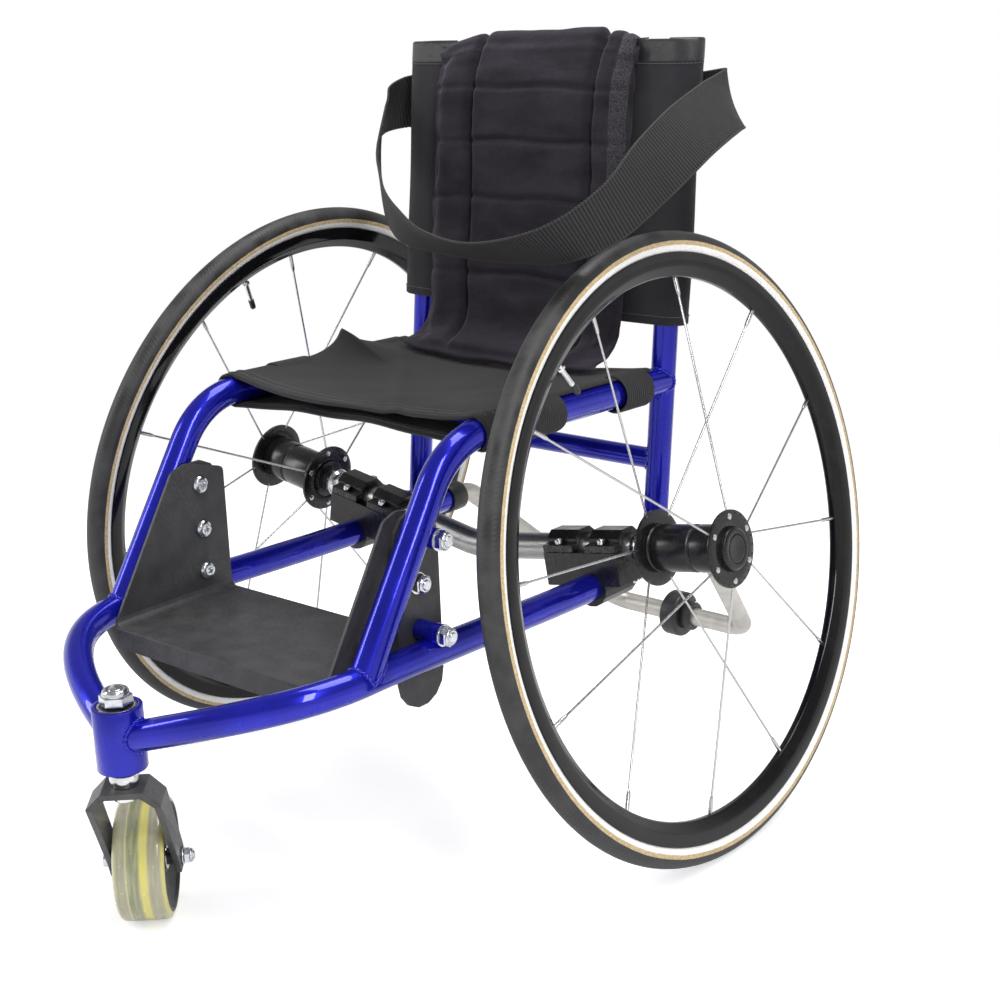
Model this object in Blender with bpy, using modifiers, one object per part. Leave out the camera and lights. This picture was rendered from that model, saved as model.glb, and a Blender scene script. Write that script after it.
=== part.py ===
"""A three-wheel sports wheelchair: rigid tube frame, one caster, cambered wheels, slings, anti-tip roller.

Metres, +Z up, floor at z = 0. The occupant faces -Y, and +X is the occupant's left.
"""

import math

import bmesh
import bpy
from mathutils import Matrix, Vector

# Clearances
SEAT_GAP = 0.0003
RUN_GAP = 0.0006
CLOTH_GAP = 0.0004
CUSHION_GAP = 0.0005
CUT_MARGIN = 0.01

# Drive wheels, 25-559 tyres leaning in at the top
CAMBER = math.radians(9.65)
WHEEL_STANDOFF = 0.1053
TYRE_RADIUS = 0.305
TYRE_SECTION = 0.0124
TYRE_WALL = 0.0026
RIM_EDGE_RADIUS = 0.284
RIM_HALF_WIDTH = 0.0105
RIM_LIP = 0.0012
RIM_INNER_RADIUS = 0.261
RIM_NOSE_HALF_WIDTH = 0.0045
RING_STEPS = 32

# Hub, measured along the axle outwards from the wheel's middle plane
OUTER_FLANGE = 0.0437
INNER_FLANGE = 0.041
FLANGE_RADIUS = 0.0375
FLANGE_THICKNESS = 0.004
HUB_RADIUS = 0.0235
HUB_WAIST_RADIUS = 0.0222
HUB_SPIGOT_RADIUS = 0.021
HUB_BOSS_REACH = 0.0075
HUB_INNER_LIP = 0.0016
BUTTON_POCKET_DEPTH = 0.0115
BUTTON_RADIUS = 0.014
BUTTON_THICKNESS = 0.0045
BUTTON_TRAVEL = 0.004
BUTTON_STEM_RADIUS = 0.003
BUTTON_STEM_LENGTH = 0.030

# Spokes
SPOKE_RADIUS = 0.001
SPOKE_COUNT = 12
SPOKE_HEAD_CIRCLE = 0.031
SPOKE_HEAD_RADIUS = 0.0032
SPOKE_HEAD_HEIGHT = 0.0012
SPOKE_LEAD = math.radians(3)
NIPPLE_RADIUS = 0.0022
NIPPLE_LENGTH = 0.018
FIRST_NIPPLE = {1: math.radians(22), -1: math.radians(8)}
VALVE_LEAD = math.radians(15)
VALVE_RADIUS = 0.0031
VALVE_LENGTH = 0.034

# Camber tube and quick release stub axles
CAMBER_TUBE_RADIUS = 0.014
CAMBER_TUBE_END = 0.066
CAMBER_BEND_RADIUS = 0.120
AXLE_SHOULDER_RADIUS = 0.016
AXLE_SHOULDER_LENGTH = 0.020
AXLE_SPIGOT_RADIUS = 0.0112
AXLE_SPIGOT_LENGTH = 0.040
AXLE_PIN_RADIUS = 0.006
AXLE_PIN_END = 0.0407

# Frame tubes; lengthwise places are measured from the axle, ahead (-Y) or behind (+Y)
TUBE_RADIUS = 0.014
FRAME_HALF_WIDTH = 0.1655
NOSE_HEIGHT = 0.209
NOSE_SWEEP = (0.100, 0.0215, 0.033)
BEND_END_AHEAD = 0.345
BEND_HANDLE = 0.080
BASE_FRONT_HEIGHT = 0.256
TUBE_STACK_GAP = 0.008
BASE_LEVEL_AHEAD = 0.016
BASE_END_BEHIND = 0.149
LEG_FOOT_PAST_BEND = 0.0066
KNEE_AHEAD = 0.229
KNEE_HEIGHT = 0.4435
KNEE_BEND_RADIUS = 0.085
RAIL_REAR_HEIGHT = 0.434
POST_RADIUS = 0.0127
POST_FOOT_BEHIND = 0.0836
POST_TOP_HEIGHT = 0.765
POST_LEAN = math.atan(0.110)
CROSSBAR_RADIUS = 0.011
CROSSBAR_HEIGHT = 0.352

# Caster barrel and its bearings
BARREL_AHEAD = 0.489
BARREL_RADIUS = 0.0225
BARREL_TOP = 0.2417
BARREL_LENGTH = 0.059
BARREL_BORE_RADIUS = 0.014
BARREL_CHAMFER = 0.0012
BEARING_RADIUS = 0.0175
BEARING_BORE_RADIUS = 0.0075
BEARING_WIDTH = 0.011

# Caster
CASTER_YAW = math.radians(43)
TRAIL = 0.070
CASTER_RADIUS = 0.0575
CASTER_WIDTH = 0.042
TREAD_THICKNESS = 0.0065
TREAD_ROUND = 0.006
CASTER_DISH = 0.008
CASTER_BOSS_RADIUS = 0.012
CASTER_BORE_RADIUS = 0.0045
FORK_WIDTH = 0.040
FORK_THICKNESS = 0.006
FORK_HALF_GAP = 0.027
FORK_TOP = 0.166
FORK_SHOULDER = 0.014
FORK_FOOT_REACH = 0.012
FORK_FOOT_WIDTH = 0.022
STEM_RADIUS = 0.0070
STEM_HEAD_RADIUS = 0.0115
STEM_HEAD_HEIGHT = 0.008
STEM_NECK_RADIUS = 0.0095
STEM_COLLAR_RADIUS = 0.01235
STEM_COLLAR_HEIGHT = 0.0055
STEM_NUT_CORNER_RADIUS = 0.015
STEM_NUT_HEIGHT = 0.0155
CASTER_AXLE_RADIUS = 0.004
CASTER_NUT_CORNER_RADIUS = 0.0076
CASTER_NUT_HEIGHT = 0.008
CASTER_WASHER_RADIUS = 0.0085

# Footplate, folded from sheet, and its height strips
SHEET = 0.003
PLATE_INSET = 0.0205
PLATE_FOLD_RADIUS = 0.010
PLATE_FLOOR_TOP = 0.2485
PLATE_TOE_AHEAD = 0.378
PLATE_CHEEK_AHEAD = 0.294
PLATE_CHEEK_HEIGHT = 0.382
PLATE_PEAK_AHEAD = 0.2765
PLATE_PEAK_HEIGHT = 0.3885
PLATE_REAR_AHEAD = 0.228
PLATE_REAR_HEIGHT = 0.3745
PLATE_LIP_DROP = 0.018
PLATE_LIP_REACH = 0.006
PLATE_LIP_LAP = 0.004
PLATE_LIP_EASE = 0.0008
PLATE_CORNER_RADII = (0.0005, 0.008, 0.020, 0.006)
STRIP_SHEET = 0.004
STRIP_HALF_WIDTH = 0.029
STRIP_AHEAD = 0.259
STRIP_BOTTOM = 0.197
STRIP_TOP = 0.3865
BOLT_AHEAD = 0.260
BOLT_HEIGHTS = (0.363, 0.317, 0.273)
BOLT_RADIUS = 0.005
BOLT_HEAD_RADIUS = 0.0092
BOLT_HEAD_HEIGHT = 0.0052
BOLT_NUT_CORNER_RADIUS = 0.0098
BOLT_NUT_HEIGHT = 0.0095
BOLT_WASHER_RADIUS = 0.0105
BOLT_WASHER_THICKNESS = 0.0016
BOSS_RADIUS = 0.0098
BOSS_REACH = 0.0125

# Clamps that hold the camber tube on the base tubes
CLAMP_END_GAP = 0.0085
CLAMP_LENGTH = 0.092
CLAMP_DEPTH = 0.052
CLAMP_DROP = 0.034
CLAMP_RING_RADIUS = 0.020
CAP_LENGTH = 0.038
CAP_TOP = 0.020
CAP_EAR_HEIGHT = 0.0075
CAP_TOP_HALF_WIDTH = 0.0090
CAP_SHOULDER_HALF_WIDTH = 0.0172
CAP_CHAMFER = 0.0075
CLAMP_BOLT_OFFSET = 0.0215
CLAMP_BOLT_RADIUS = 0.0025
CLAMP_BOLT_HEAD_RADIUS = 0.0042
CLAMP_BOLT_HEAD_HEIGHT = 0.0045
CLAMP_BOLT_BITE = 0.020
CLAMP_NUT_CORNER_RADIUS = 0.0064
CLAMP_NUT_HEIGHT = 0.0068

# Anti-tip bar, its collars and its roller
BAR_RADIUS = 0.011
BAR_INSERTION = 0.055
SOCKET_EXTRA_DEPTH = 0.001
BAR_BEND_BEHIND = 0.172
BAR_ROLLER_BEHIND = 0.372
BAR_ROLLER_HEIGHT = 0.064
BAR_TAIL_HALF_WIDTH = 0.098
BAR_SHOULDER_RADIUS = 0.028
BAR_TAIL_RADIUS = 0.032
COLLAR_RADIUS = 0.017
COLLAR_LENGTH = 0.025
COLLAR_LIP = 0.003
ROLLER_RADIUS = 0.028
ROLLER_WIDTH = 0.024
ROLLER_ROUND = 0.005
STOP_COLLAR_RADIUS = 0.0175
STOP_COLLAR_WIDTH = 0.012

# Seat sling and the strap under its front edge
SLING_THICKNESS = 0.0026
SEAT_FRONT_AHEAD = 0.192
SEAT_REAR_BEHIND = 0.075
SEAT_SAG = 0.012
SEAT_WRAP = math.radians(55)
PUCKER_HEIGHT = 0.018
PUCKER_AHEAD = 0.020
PUCKER_LENGTH = 0.038
CREASE_HEIGHT = 0.0016
WEBBING_THICKNESS = 0.0032
WEBBING_BANDS = ((0.1290, 0.049), (-0.0180, 0.045))
UNDER_STRAP_DEPTH = 0.050
UNDER_STRAP_THICKNESS = 0.004
UNDER_STRAP_AHEAD = 0.185
UNDER_STRAP_START = math.radians(64)
UNDER_STRAP_RISE = 0.008

# Back sling, a sheet whose sleeves hang loosely over the posts
BACK_BOTTOM = 0.493
BACK_TOP = 0.772
BACK_SLEEVE_REACH = 0.0240
BACK_SLEEVE_DEPTH = 0.0150
BACK_HEM_INSET = 0.0235

# Back cushion, draped over the top of the back sling and down onto the seat
CUSHION_HALF_WIDTH = 0.136
CUSHION_THICKNESS = 0.024
CUSHION_HOOK_THICKNESS = 0.011
CUSHION_TOP = 0.7875
CUSHION_HOOK_BOTTOM = 0.752
CUSHION_FOLD = 0.090
CUSHION_FOLD_DEPTH = 0.0036
CUSHION_FOLD_WIDTH = 0.006
CUSHION_SEAMS = (0.729, 0.674, 0.615, 0.536)
CUSHION_SEAM_DEPTH = 0.004
CUSHION_SEAM_WIDTH = 0.009
CUSHION_EDGE_ROUND = 0.030
CUSHION_BEND_HEIGHT = 0.505
CUSHION_TOE_REACH = 0.055
CUSHION_TOE_THICKNESS = 0.014
CUSHION_TOE_LIFT = 0.0085
CUSHION_BEND_HANDLES = ((0.004, 0.032), (0.040, 0.014))
CUSHION_EDGE_SHARE = 0.18
CUSHION_CROWN_SHARE = 0.32

# Chest strap of wide webbing. Its route gives the middle as x, distance behind the axle and height, with the
# angle in degrees by which its lower edge swings about the route
STRAP_WIDTH = 0.057
STRAP_THICKNESS = 0.0022
STRAP_END_HEIGHT = 0.710
STRAP_STATIONS = 44
STRAP_ROUTE = (
    (-0.178, 0.154, 0.709, 6),
    (-0.212, 0.150, 0.706, -12),
    (-0.222, 0.125, 0.699, -20),
    (-0.206, 0.095, 0.682, -16),
    (-0.167, 0.050, 0.656, -3),
    (-0.124, 0.004, 0.636, 5),
    (-0.082, -0.035, 0.623, 8),
    (-0.032, -0.076, 0.613, 18),
    (0.025, -0.108, 0.607, 38),
    (0.086, -0.132, 0.600, 58),
    (0.151, -0.142, 0.598, 65),
    (0.217, -0.135, 0.608, 49),
    (0.262, -0.105, 0.636, 18),
    (0.280, -0.059, 0.673, -19),
    (0.284, -0.008, 0.700, -38),
    (0.273, 0.055, 0.715, -42),
    (0.245, 0.113, 0.717, -25),
    (0.215, 0.146, 0.715, -2),
    (0.180, 0.154, 0.711, 6),
)

# Derived places
HALF_TRACK = FRAME_HALF_WIDTH + WHEEL_STANDOFF
PLATE_HALF_WIDTH = FRAME_HALF_WIDTH - PLATE_INSET
BOSS_END = FRAME_HALF_WIDTH + BOSS_REACH
BACK_HEM_HALF_WIDTH = FRAME_HALF_WIDTH - BACK_HEM_INSET
FORK_REACH = (FORK_HALF_GAP + FORK_THICKNESS) * math.sin(CASTER_YAW) + FORK_WIDTH / 2 * math.cos(CASTER_YAW)
AXLE_Y = (BARREL_AHEAD + max(BARREL_RADIUS, FORK_REACH) - BAR_ROLLER_BEHIND - ROLLER_RADIUS) / 2
WHEEL_HEIGHT = (TYRE_RADIUS - TYRE_SECTION) * math.cos(CAMBER) + TYRE_SECTION
BARREL_Y = AXLE_Y - BARREL_AHEAD
BARREL_BOTTOM = BARREL_TOP - BARREL_LENGTH
LEG_FOOT_AHEAD = BEND_END_AHEAD + LEG_FOOT_PAST_BEND
CAMBER_TUBE_OVER_FRAME = WHEEL_HEIGHT - (HALF_TRACK - FRAME_HALF_WIDTH) * math.tan(CAMBER)
BASE_REAR_HEIGHT = CAMBER_TUBE_OVER_FRAME - CAMBER_TUBE_RADIUS - TUBE_RADIUS - TUBE_STACK_GAP
CLAMP_CENTRE = HALF_TRACK - (CAMBER_TUBE_END + CLAMP_END_GAP + CLAMP_LENGTH / 2) * math.cos(CAMBER)
CAP_SPACING = CLAMP_LENGTH - CAP_LENGTH
SIDES = {"left": 1, "right": -1}
TUBE_RESOLUTION = 3
ROUND_STEPS = 16
SMALL_STEPS = 12
SCREW_STEPS = 8
BARREL_STEPS = 20
RIM_SEAT_STEPS = 3
SEAT_COLUMNS = 20
SEAT_ROWS = 10
SEAT_WRAP_STEPS = 4
BACK_ROWS = 3
UNDER_STRAP_COLUMNS = 16
UNDER_STRAP_WRAP_STEPS = 2
CUSHION_STEPS = 17
CUSHION_TOE_STEPS = 6


def ahead(distance):
    """Y of a place that far ahead of the axle."""
    return AXLE_Y - distance


def behind(distance):
    return AXLE_Y + distance


# Scene and materials
def clear_scene():
    for obj in list(bpy.data.objects):
        bpy.data.objects.remove(obj, do_unlink=True)


def new_collection(name):
    collection = bpy.data.collections.new(name)
    bpy.context.scene.collection.children.link(collection)
    return collection


def new_material(name, colour, roughness, metallic=0.0):
    look = bpy.data.materials.new(name)
    look.use_nodes = True
    shader = look.node_tree.nodes["Principled BSDF"]
    shader.inputs["Base Color"].default_value = (*colour, 1.0)
    shader.inputs["Roughness"].default_value = roughness
    shader.inputs["Metallic"].default_value = metallic
    look.diffuse_color = (*colour, 1.0)
    return look


clear_scene()
PARTS = new_collection("active_wheelchair")
CUTTERS = new_collection("cutters")

BLUE_PAINT = new_material("blue_paint", (0.010, 0.012, 0.300), 0.18, 0.4)
BLACK_ANODISED = new_material("black_anodised", (0.010, 0.010, 0.011), 0.32, 0.5)
BLACK_SATIN = new_material("black_satin", (0.022, 0.022, 0.024), 0.50)
BRUSHED_GREY = new_material("brushed_grey", (0.36, 0.36, 0.35), 0.34, 1.0)
WARM_GREY = new_material("warm_grey", (0.52, 0.50, 0.46), 0.45, 0.8)
ZINC = new_material("zinc", (0.62, 0.64, 0.66), 0.25, 1.0)
BRIGHT_STEEL = new_material("bright_steel", (0.70, 0.70, 0.70), 0.20, 1.0)
RIM_BLACK = new_material("rim_black", (0.008, 0.008, 0.009), 0.18)
RUBBER = new_material("rubber", (0.030, 0.030, 0.032), 0.75)
URETHANE = new_material("urethane", (0.62, 0.60, 0.24), 0.25)
HARD_BLACK = new_material("hard_black", (0.014, 0.014, 0.015), 0.40)
NYLON = new_material("nylon", (0.012, 0.012, 0.014), 0.80)
VELVET = new_material("velvet", (0.022, 0.018, 0.026), 0.95)
WEBBING = new_material("webbing", (0.016, 0.016, 0.018), 0.70)


# Building blocks
def add_object(name, mesh, look, parent=None, collection=None):
    obj = bpy.data.objects.new(name, mesh)
    (collection or PARTS).objects.link(obj)
    obj.parent = parent
    if look:
        mesh.materials.append(look)
    return obj


def helper(name, mesh, parent=None):
    """An object that only cuts or joins: it never becomes a part."""
    obj = add_object(name, mesh, None, parent, CUTTERS)
    obj.hide_render = True
    obj.display_type = "WIRE"
    return obj


def empty(name, location, rotation=(0, 0, 0), parent=None):
    obj = bpy.data.objects.new(name, None)
    PARTS.objects.link(obj)
    obj.location = location
    obj.rotation_euler = rotation
    obj.parent = parent
    obj.empty_display_size = 0.03
    return obj


def boolean(obj, other, operation):
    modifier = obj.modifiers.new(f"{operation.lower()}_{other.name}", "BOOLEAN")
    modifier.operation = operation
    modifier.solver = "EXACT"
    modifier.object = other


def cut(obj, *cutters):
    for cutter in cutters:
        boolean(obj, cutter, "DIFFERENCE")
    return obj


def join(obj, *others):
    for other in others:
        boolean(obj, other, "UNION")
    return obj


def smooth(mesh, angle=math.radians(35)):
    mesh.shade_smooth()
    mesh.set_sharp_from_angle(angle=angle)
    return mesh


def finished(bm, name):
    bmesh.ops.recalc_face_normals(bm, faces=bm.faces)
    mesh = bpy.data.meshes.new(name)
    bm.to_mesh(mesh)
    bm.free()
    return mesh


def cylinder_mesh(name, radius, start, end, sides=ROUND_STEPS):
    start = Vector(start)
    end = Vector(end)
    turn = Vector((0, 0, 1)).rotation_difference(end - start).to_matrix().to_4x4()
    bm = bmesh.new()
    bmesh.ops.create_cone(
        bm, cap_ends=True, segments=sides, radius1=radius, radius2=radius,
        depth=(end - start).length, matrix=Matrix.Translation((start + end) / 2) @ turn,
    )
    return finished(bm, name)


def box_mesh(name, low, high):
    low = Vector(low)
    high = Vector(high)
    bm = bmesh.new()
    place = Matrix.Translation((low + high) / 2) @ Matrix.Diagonal((*(high - low), 1))
    bmesh.ops.create_cube(bm, size=1, matrix=place)
    return finished(bm, name)


def prism_mesh(name, outline, thrust):
    """A flat outline pushed along the vector thrust."""
    bm = bmesh.new()
    face = bm.faces.new([bm.verts.new(point) for point in outline])
    pushed = bmesh.ops.extrude_face_region(bm, geom=[face])["geom"]
    moved = [item for item in pushed if isinstance(item, bmesh.types.BMVert)]
    bmesh.ops.translate(bm, verts=moved, vec=thrust)
    return finished(bm, name)


def loft_mesh(name, rings):
    """A closed skin through rings of equal point counts, with a face on each end."""
    bm = bmesh.new()
    rows = [[bm.verts.new(point) for point in ring] for ring in rings]
    for row, following in zip(rows, rows[1:]):
        for i in range(len(row)):
            j = (i + 1) % len(row)
            bm.faces.new((row[i], row[j], following[j], following[i]))
    bm.faces.new(rows[0])
    bm.faces.new(rows[-1])
    bmesh.ops.triangulate(bm, faces=[face for face in bm.faces if len(face.verts) > 4])
    return finished(bm, name)


def tube_mesh(name, points, radius):
    """A round tube along the points, read from a bevelled curve."""
    curve = bpy.data.curves.new(name, "CURVE")
    curve.dimensions = "3D"
    curve.bevel_depth = radius
    curve.bevel_resolution = TUBE_RESOLUTION
    curve.use_fill_caps = True
    spline = curve.splines.new("POLY")
    spline.points.add(len(points) - 1)
    for knot, point in zip(spline.points, points):
        knot.co = (*point, 1.0)
    holder = bpy.data.objects.new(name, curve)
    PARTS.objects.link(holder)
    mesh = bpy.data.meshes.new_from_object(holder)
    bpy.data.objects.remove(holder)
    bpy.data.curves.remove(curve)
    bm = bmesh.new()
    bm.from_mesh(mesh)
    bpy.data.meshes.remove(mesh)
    bmesh.ops.remove_doubles(bm, verts=bm.verts, dist=1e-6)
    return finished(bm, name)


def turned(name, profile, look, steps=ROUND_STEPS, parent=None, closed=False):
    """A turned shape: the profile of (radius, height) pairs runs down its outer side."""
    mesh = bpy.data.meshes.new(name)
    links = [(i, i + 1) for i in range(len(profile) - 1)]
    if closed:
        links.append((len(profile) - 1, 0))
    mesh.from_pydata([(radius, 0.0, height) for radius, height in profile], links, [])
    obj = add_object(name, mesh, look, parent) if look else helper(name, mesh, parent)
    screw = obj.modifiers.new("turn", "SCREW")
    screw.angle = math.tau
    screw.steps = steps
    screw.render_steps = steps
    screw.use_merge_vertices = True
    screw.merge_threshold = 1e-5
    screw.use_smooth_shade = False
    return obj


def arc(centre, radius, start, end, steps):
    """Points of a round stretch in a plane, from one angle to another."""
    turn = [start + (end - start) * i / steps for i in range(steps + 1)]
    return [(centre[0] + radius * math.cos(a), centre[1] + radius * math.sin(a)) for a in turn]


def bezier(knots, steps):
    start, leave, arrive, end = (Vector(knot) for knot in knots)
    points = []
    for i in range(steps + 1):
        t = i / steps
        s = 1 - t
        points.append(s**3 * start + 3 * s * s * t * leave + 3 * s * t * t * arrive + t**3 * end)
    return points


def rounded_path(corners, radii, steps=6):
    """The corners joined by straight runs, with each inner corner rounded to its radius."""
    corners = [Vector(corner) for corner in corners]
    points = [corners[0]]
    for before, corner, after, radius in zip(corners, corners[1:], corners[2:], radii):
        back = (before - corner).normalized()
        on = (after - corner).normalized()
        half = back.angle(on) / 2
        start = corner + back * (radius / math.tan(half))
        middle = corner + (back + on).normalized() * (radius / math.sin(half))
        normal = back.cross(on).normalized()
        sweep = math.pi - 2 * half
        for i in range(steps + 1):
            spin = Matrix.Rotation(-sweep * i / steps, 3, normal)
            points.append(middle + spin @ (start - middle))
    return points + [corners[-1]]


def smoothstep(value):
    value = min(max(value, 0.0), 1.0)
    return value * value * (3 - 2 * value)


# Frame
def base_tube_path(side):
    x = side * FRAME_HALF_WIDTH
    nose = Vector((0, BARREL_Y, NOSE_HEIGHT))
    bend_end = Vector((x, ahead(BEND_END_AHEAD), BASE_FRONT_HEIGHT))
    level = Vector((x, ahead(BASE_LEVEL_AHEAD), BASE_REAR_HEIGHT))
    sweep = Vector((side * NOSE_SWEEP[0], NOSE_SWEEP[1], NOSE_SWEEP[2]))
    handle = Vector((0, BEND_HANDLE, 0))
    front = bezier((nose, nose + sweep, bend_end - handle, bend_end), 9)
    middle = bezier((bend_end, bend_end + handle, level - handle, level), 3)
    return front + middle[1:] + [Vector((x, behind(BASE_END_BEHIND), BASE_REAR_HEIGHT))]


def post_axis(side, height):
    rise = height - BASE_REAR_HEIGHT
    y = behind(POST_FOOT_BEHIND) + rise * math.tan(POST_LEAN)
    return Vector((side * FRAME_HALF_WIDTH, y, height))


def side_frame_path(side):
    x = side * FRAME_HALF_WIDTH
    foot = (x, ahead(LEG_FOOT_AHEAD), BASE_FRONT_HEIGHT)
    knee = (x, ahead(KNEE_AHEAD), KNEE_HEIGHT)
    end = post_axis(side, RAIL_REAR_HEIGHT) - Vector((0, POST_RADIUS / 2, 0))
    return rounded_path((foot, knee, end), (KNEE_BEND_RADIUS,), 7)


def rail_height(y):
    """Height of the side frame tube's axis at a place along the chair."""
    path = side_frame_path(1)
    for start, end in zip(path, path[1:]):
        if y <= end.y:
            return start.z + (y - start.y) / (end.y - start.y) * (end.z - start.z)
    return path[-1].z


def base_tube_cutter(name, side):
    return helper(name, tube_mesh(name, base_tube_path(side), TUBE_RADIUS + SEAT_GAP))


def post_cutter(name, side):
    run = (post_axis(side, BASE_REAR_HEIGHT - 0.02), post_axis(side, POST_TOP_HEIGHT + 0.02))
    return helper(name, cylinder_mesh(name, POST_RADIUS + SEAT_GAP, *run))


def boss_start():
    """Inner end of the welded bosses, against the height strip."""
    return PLATE_HALF_WIDTH + SEAT_GAP + STRIP_SHEET + SEAT_GAP


def boss(name, side, height):
    y = ahead(BOLT_AHEAD)
    ends = ((side * boss_start(), y, height), (side * BOSS_END, y, height))
    return helper(name, cylinder_mesh(name, BOSS_RADIUS, *ends, SMALL_STEPS))


def bolt_bore(name, side, height):
    y = ahead(BOLT_AHEAD)
    ends = ((side * (PLATE_HALF_WIDTH - 0.03), y, height), (side * (BOSS_END + 0.02), y, height))
    return helper(name, cylinder_mesh(name, BOLT_RADIUS + SEAT_GAP, *ends, SMALL_STEPS))


def build_frame():
    barrel_cutter = helper("barrel_cutter", cylinder_mesh(
        "barrel_cutter", BARREL_RADIUS + SEAT_GAP,
        (0, BARREL_Y, BARREL_BOTTOM - 0.02), (0, BARREL_Y, BARREL_TOP + 0.02), BARREL_STEPS,
    ))
    posts = {}
    for label, side in SIDES.items():
        path = base_tube_path(side)
        base_mesh = tube_mesh(f"base_tube_{label}", path, TUBE_RADIUS)
        base = add_object(f"base_tube_{label}", base_mesh, BLUE_PAINT)
        socket = helper(f"socket_{label}", tube_mesh(
            f"socket_{label}", bar_path(SOCKET_EXTRA_DEPTH), BAR_RADIUS + SEAT_GAP))
        cut(base, barrel_cutter, socket)
        join(base, boss(f"lower_boss_{label}", side, BOLT_HEIGHTS[2]))
        cut(base, bolt_bore(f"lower_bore_{label}", side, BOLT_HEIGHTS[2]))

        frame = add_object(
            f"side_frame_{label}",
            tube_mesh(f"side_frame_{label}", side_frame_path(side), TUBE_RADIUS), BLUE_PAINT,
        )
        posts[side] = post_cutter(f"post_cutter_{label}", side)
        cut(frame, base_tube_cutter(f"leg_cope_{label}", side), posts[side])
        join(frame, boss(f"upper_boss_{label}", side, BOLT_HEIGHTS[0]))
        cut(frame, bolt_bore(f"upper_bore_{label}", side, BOLT_HEIGHTS[0]))

        foot = post_axis(side, BASE_REAR_HEIGHT)
        post = add_object(
            f"back_post_{label}",
            cylinder_mesh(f"back_post_{label}", POST_RADIUS, foot, post_axis(side, POST_TOP_HEIGHT)),
            BLUE_PAINT,
        )
        cut(post, base_tube_cutter(f"post_cope_{label}", side))

    crossbar = add_object("rear_crossbar", cylinder_mesh(
        "rear_crossbar", CROSSBAR_RADIUS, post_axis(-1, CROSSBAR_HEIGHT), post_axis(1, CROSSBAR_HEIGHT),
    ), BLUE_PAINT)
    cut(crossbar, posts[1], posts[-1])

    chamfer = BARREL_CHAMFER
    pocket = BEARING_RADIUS + SEAT_GAP
    depth = BEARING_WIDTH + SEAT_GAP
    barrel = turned("caster_barrel", [
        (pocket, BARREL_TOP),
        (BARREL_RADIUS - chamfer, BARREL_TOP),
        (BARREL_RADIUS, BARREL_TOP - chamfer),
        (BARREL_RADIUS, BARREL_BOTTOM + chamfer),
        (BARREL_RADIUS - chamfer, BARREL_BOTTOM),
        (pocket, BARREL_BOTTOM),
        (pocket, BARREL_BOTTOM + depth),
        (BARREL_BORE_RADIUS, BARREL_BOTTOM + depth),
        (BARREL_BORE_RADIUS, BARREL_TOP - depth),
        (pocket, BARREL_TOP - depth),
    ], BLUE_PAINT, BARREL_STEPS, closed=True)
    barrel.location = (0, BARREL_Y, 0)
    for label, top in (("upper", BARREL_TOP), ("lower", BARREL_BOTTOM + BEARING_WIDTH)):
        bottom = top - BEARING_WIDTH
        bearing = turned(f"barrel_bearing_{label}", [
            (BEARING_BORE_RADIUS, top),
            (BEARING_RADIUS, top),
            (BEARING_RADIUS, bottom),
            (BEARING_BORE_RADIUS, bottom),
        ], BRIGHT_STEEL, BARREL_STEPS, closed=True)
        bearing.location = (0, BARREL_Y, 0)


# Caster
def fork_station(x_inner, x_outer, z_inner, z_outer, y_inner, y_outer, width):
    """Four corners of the bent bar at one place along its length."""
    half = width / 2
    return [
        (x_inner, y_inner - half, z_inner),
        (x_outer, y_outer - half, z_outer),
        (x_outer, y_outer + half, z_outer),
        (x_inner, y_inner + half, z_inner),
    ]


def fork_mesh():
    inner = FORK_HALF_GAP
    outer = inner + FORK_THICKNESS
    knee = FORK_TOP - FORK_SHOULDER
    inner_top = FORK_TOP - FORK_THICKNESS
    inset = FORK_THICKNESS * math.tan(math.radians(22.5))
    foot = CASTER_RADIUS - FORK_FOOT_REACH
    rake = TRAIL / (knee - CASTER_RADIUS)

    def arm(z):
        return rake * (knee - z)

    def half_rings(sign):
        reach = FORK_FOOT_REACH * math.tan(math.radians(25))
        low = fork_station(sign * inner, sign * outer, foot, foot, TRAIL, TRAIL, FORK_FOOT_WIDTH)
        ankle = CASTER_RADIUS + reach
        taper = fork_station(
            sign * inner, sign * outer, ankle, ankle, arm(ankle), arm(ankle), FORK_WIDTH * 0.86)
        hip = fork_station(sign * inner, sign * outer, knee - inset, knee, arm(knee - inset), 0, FORK_WIDTH)
        top = fork_station(
            sign * (inner - FORK_SHOULDER + inset), sign * (outer - FORK_SHOULDER),
            inner_top, FORK_TOP, 0, 0, FORK_WIDTH,
        )
        return [low, taper, hip, top]

    left = half_rings(-1)
    right = half_rings(1)
    return loft_mesh("caster_fork", left + right[::-1])


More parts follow.
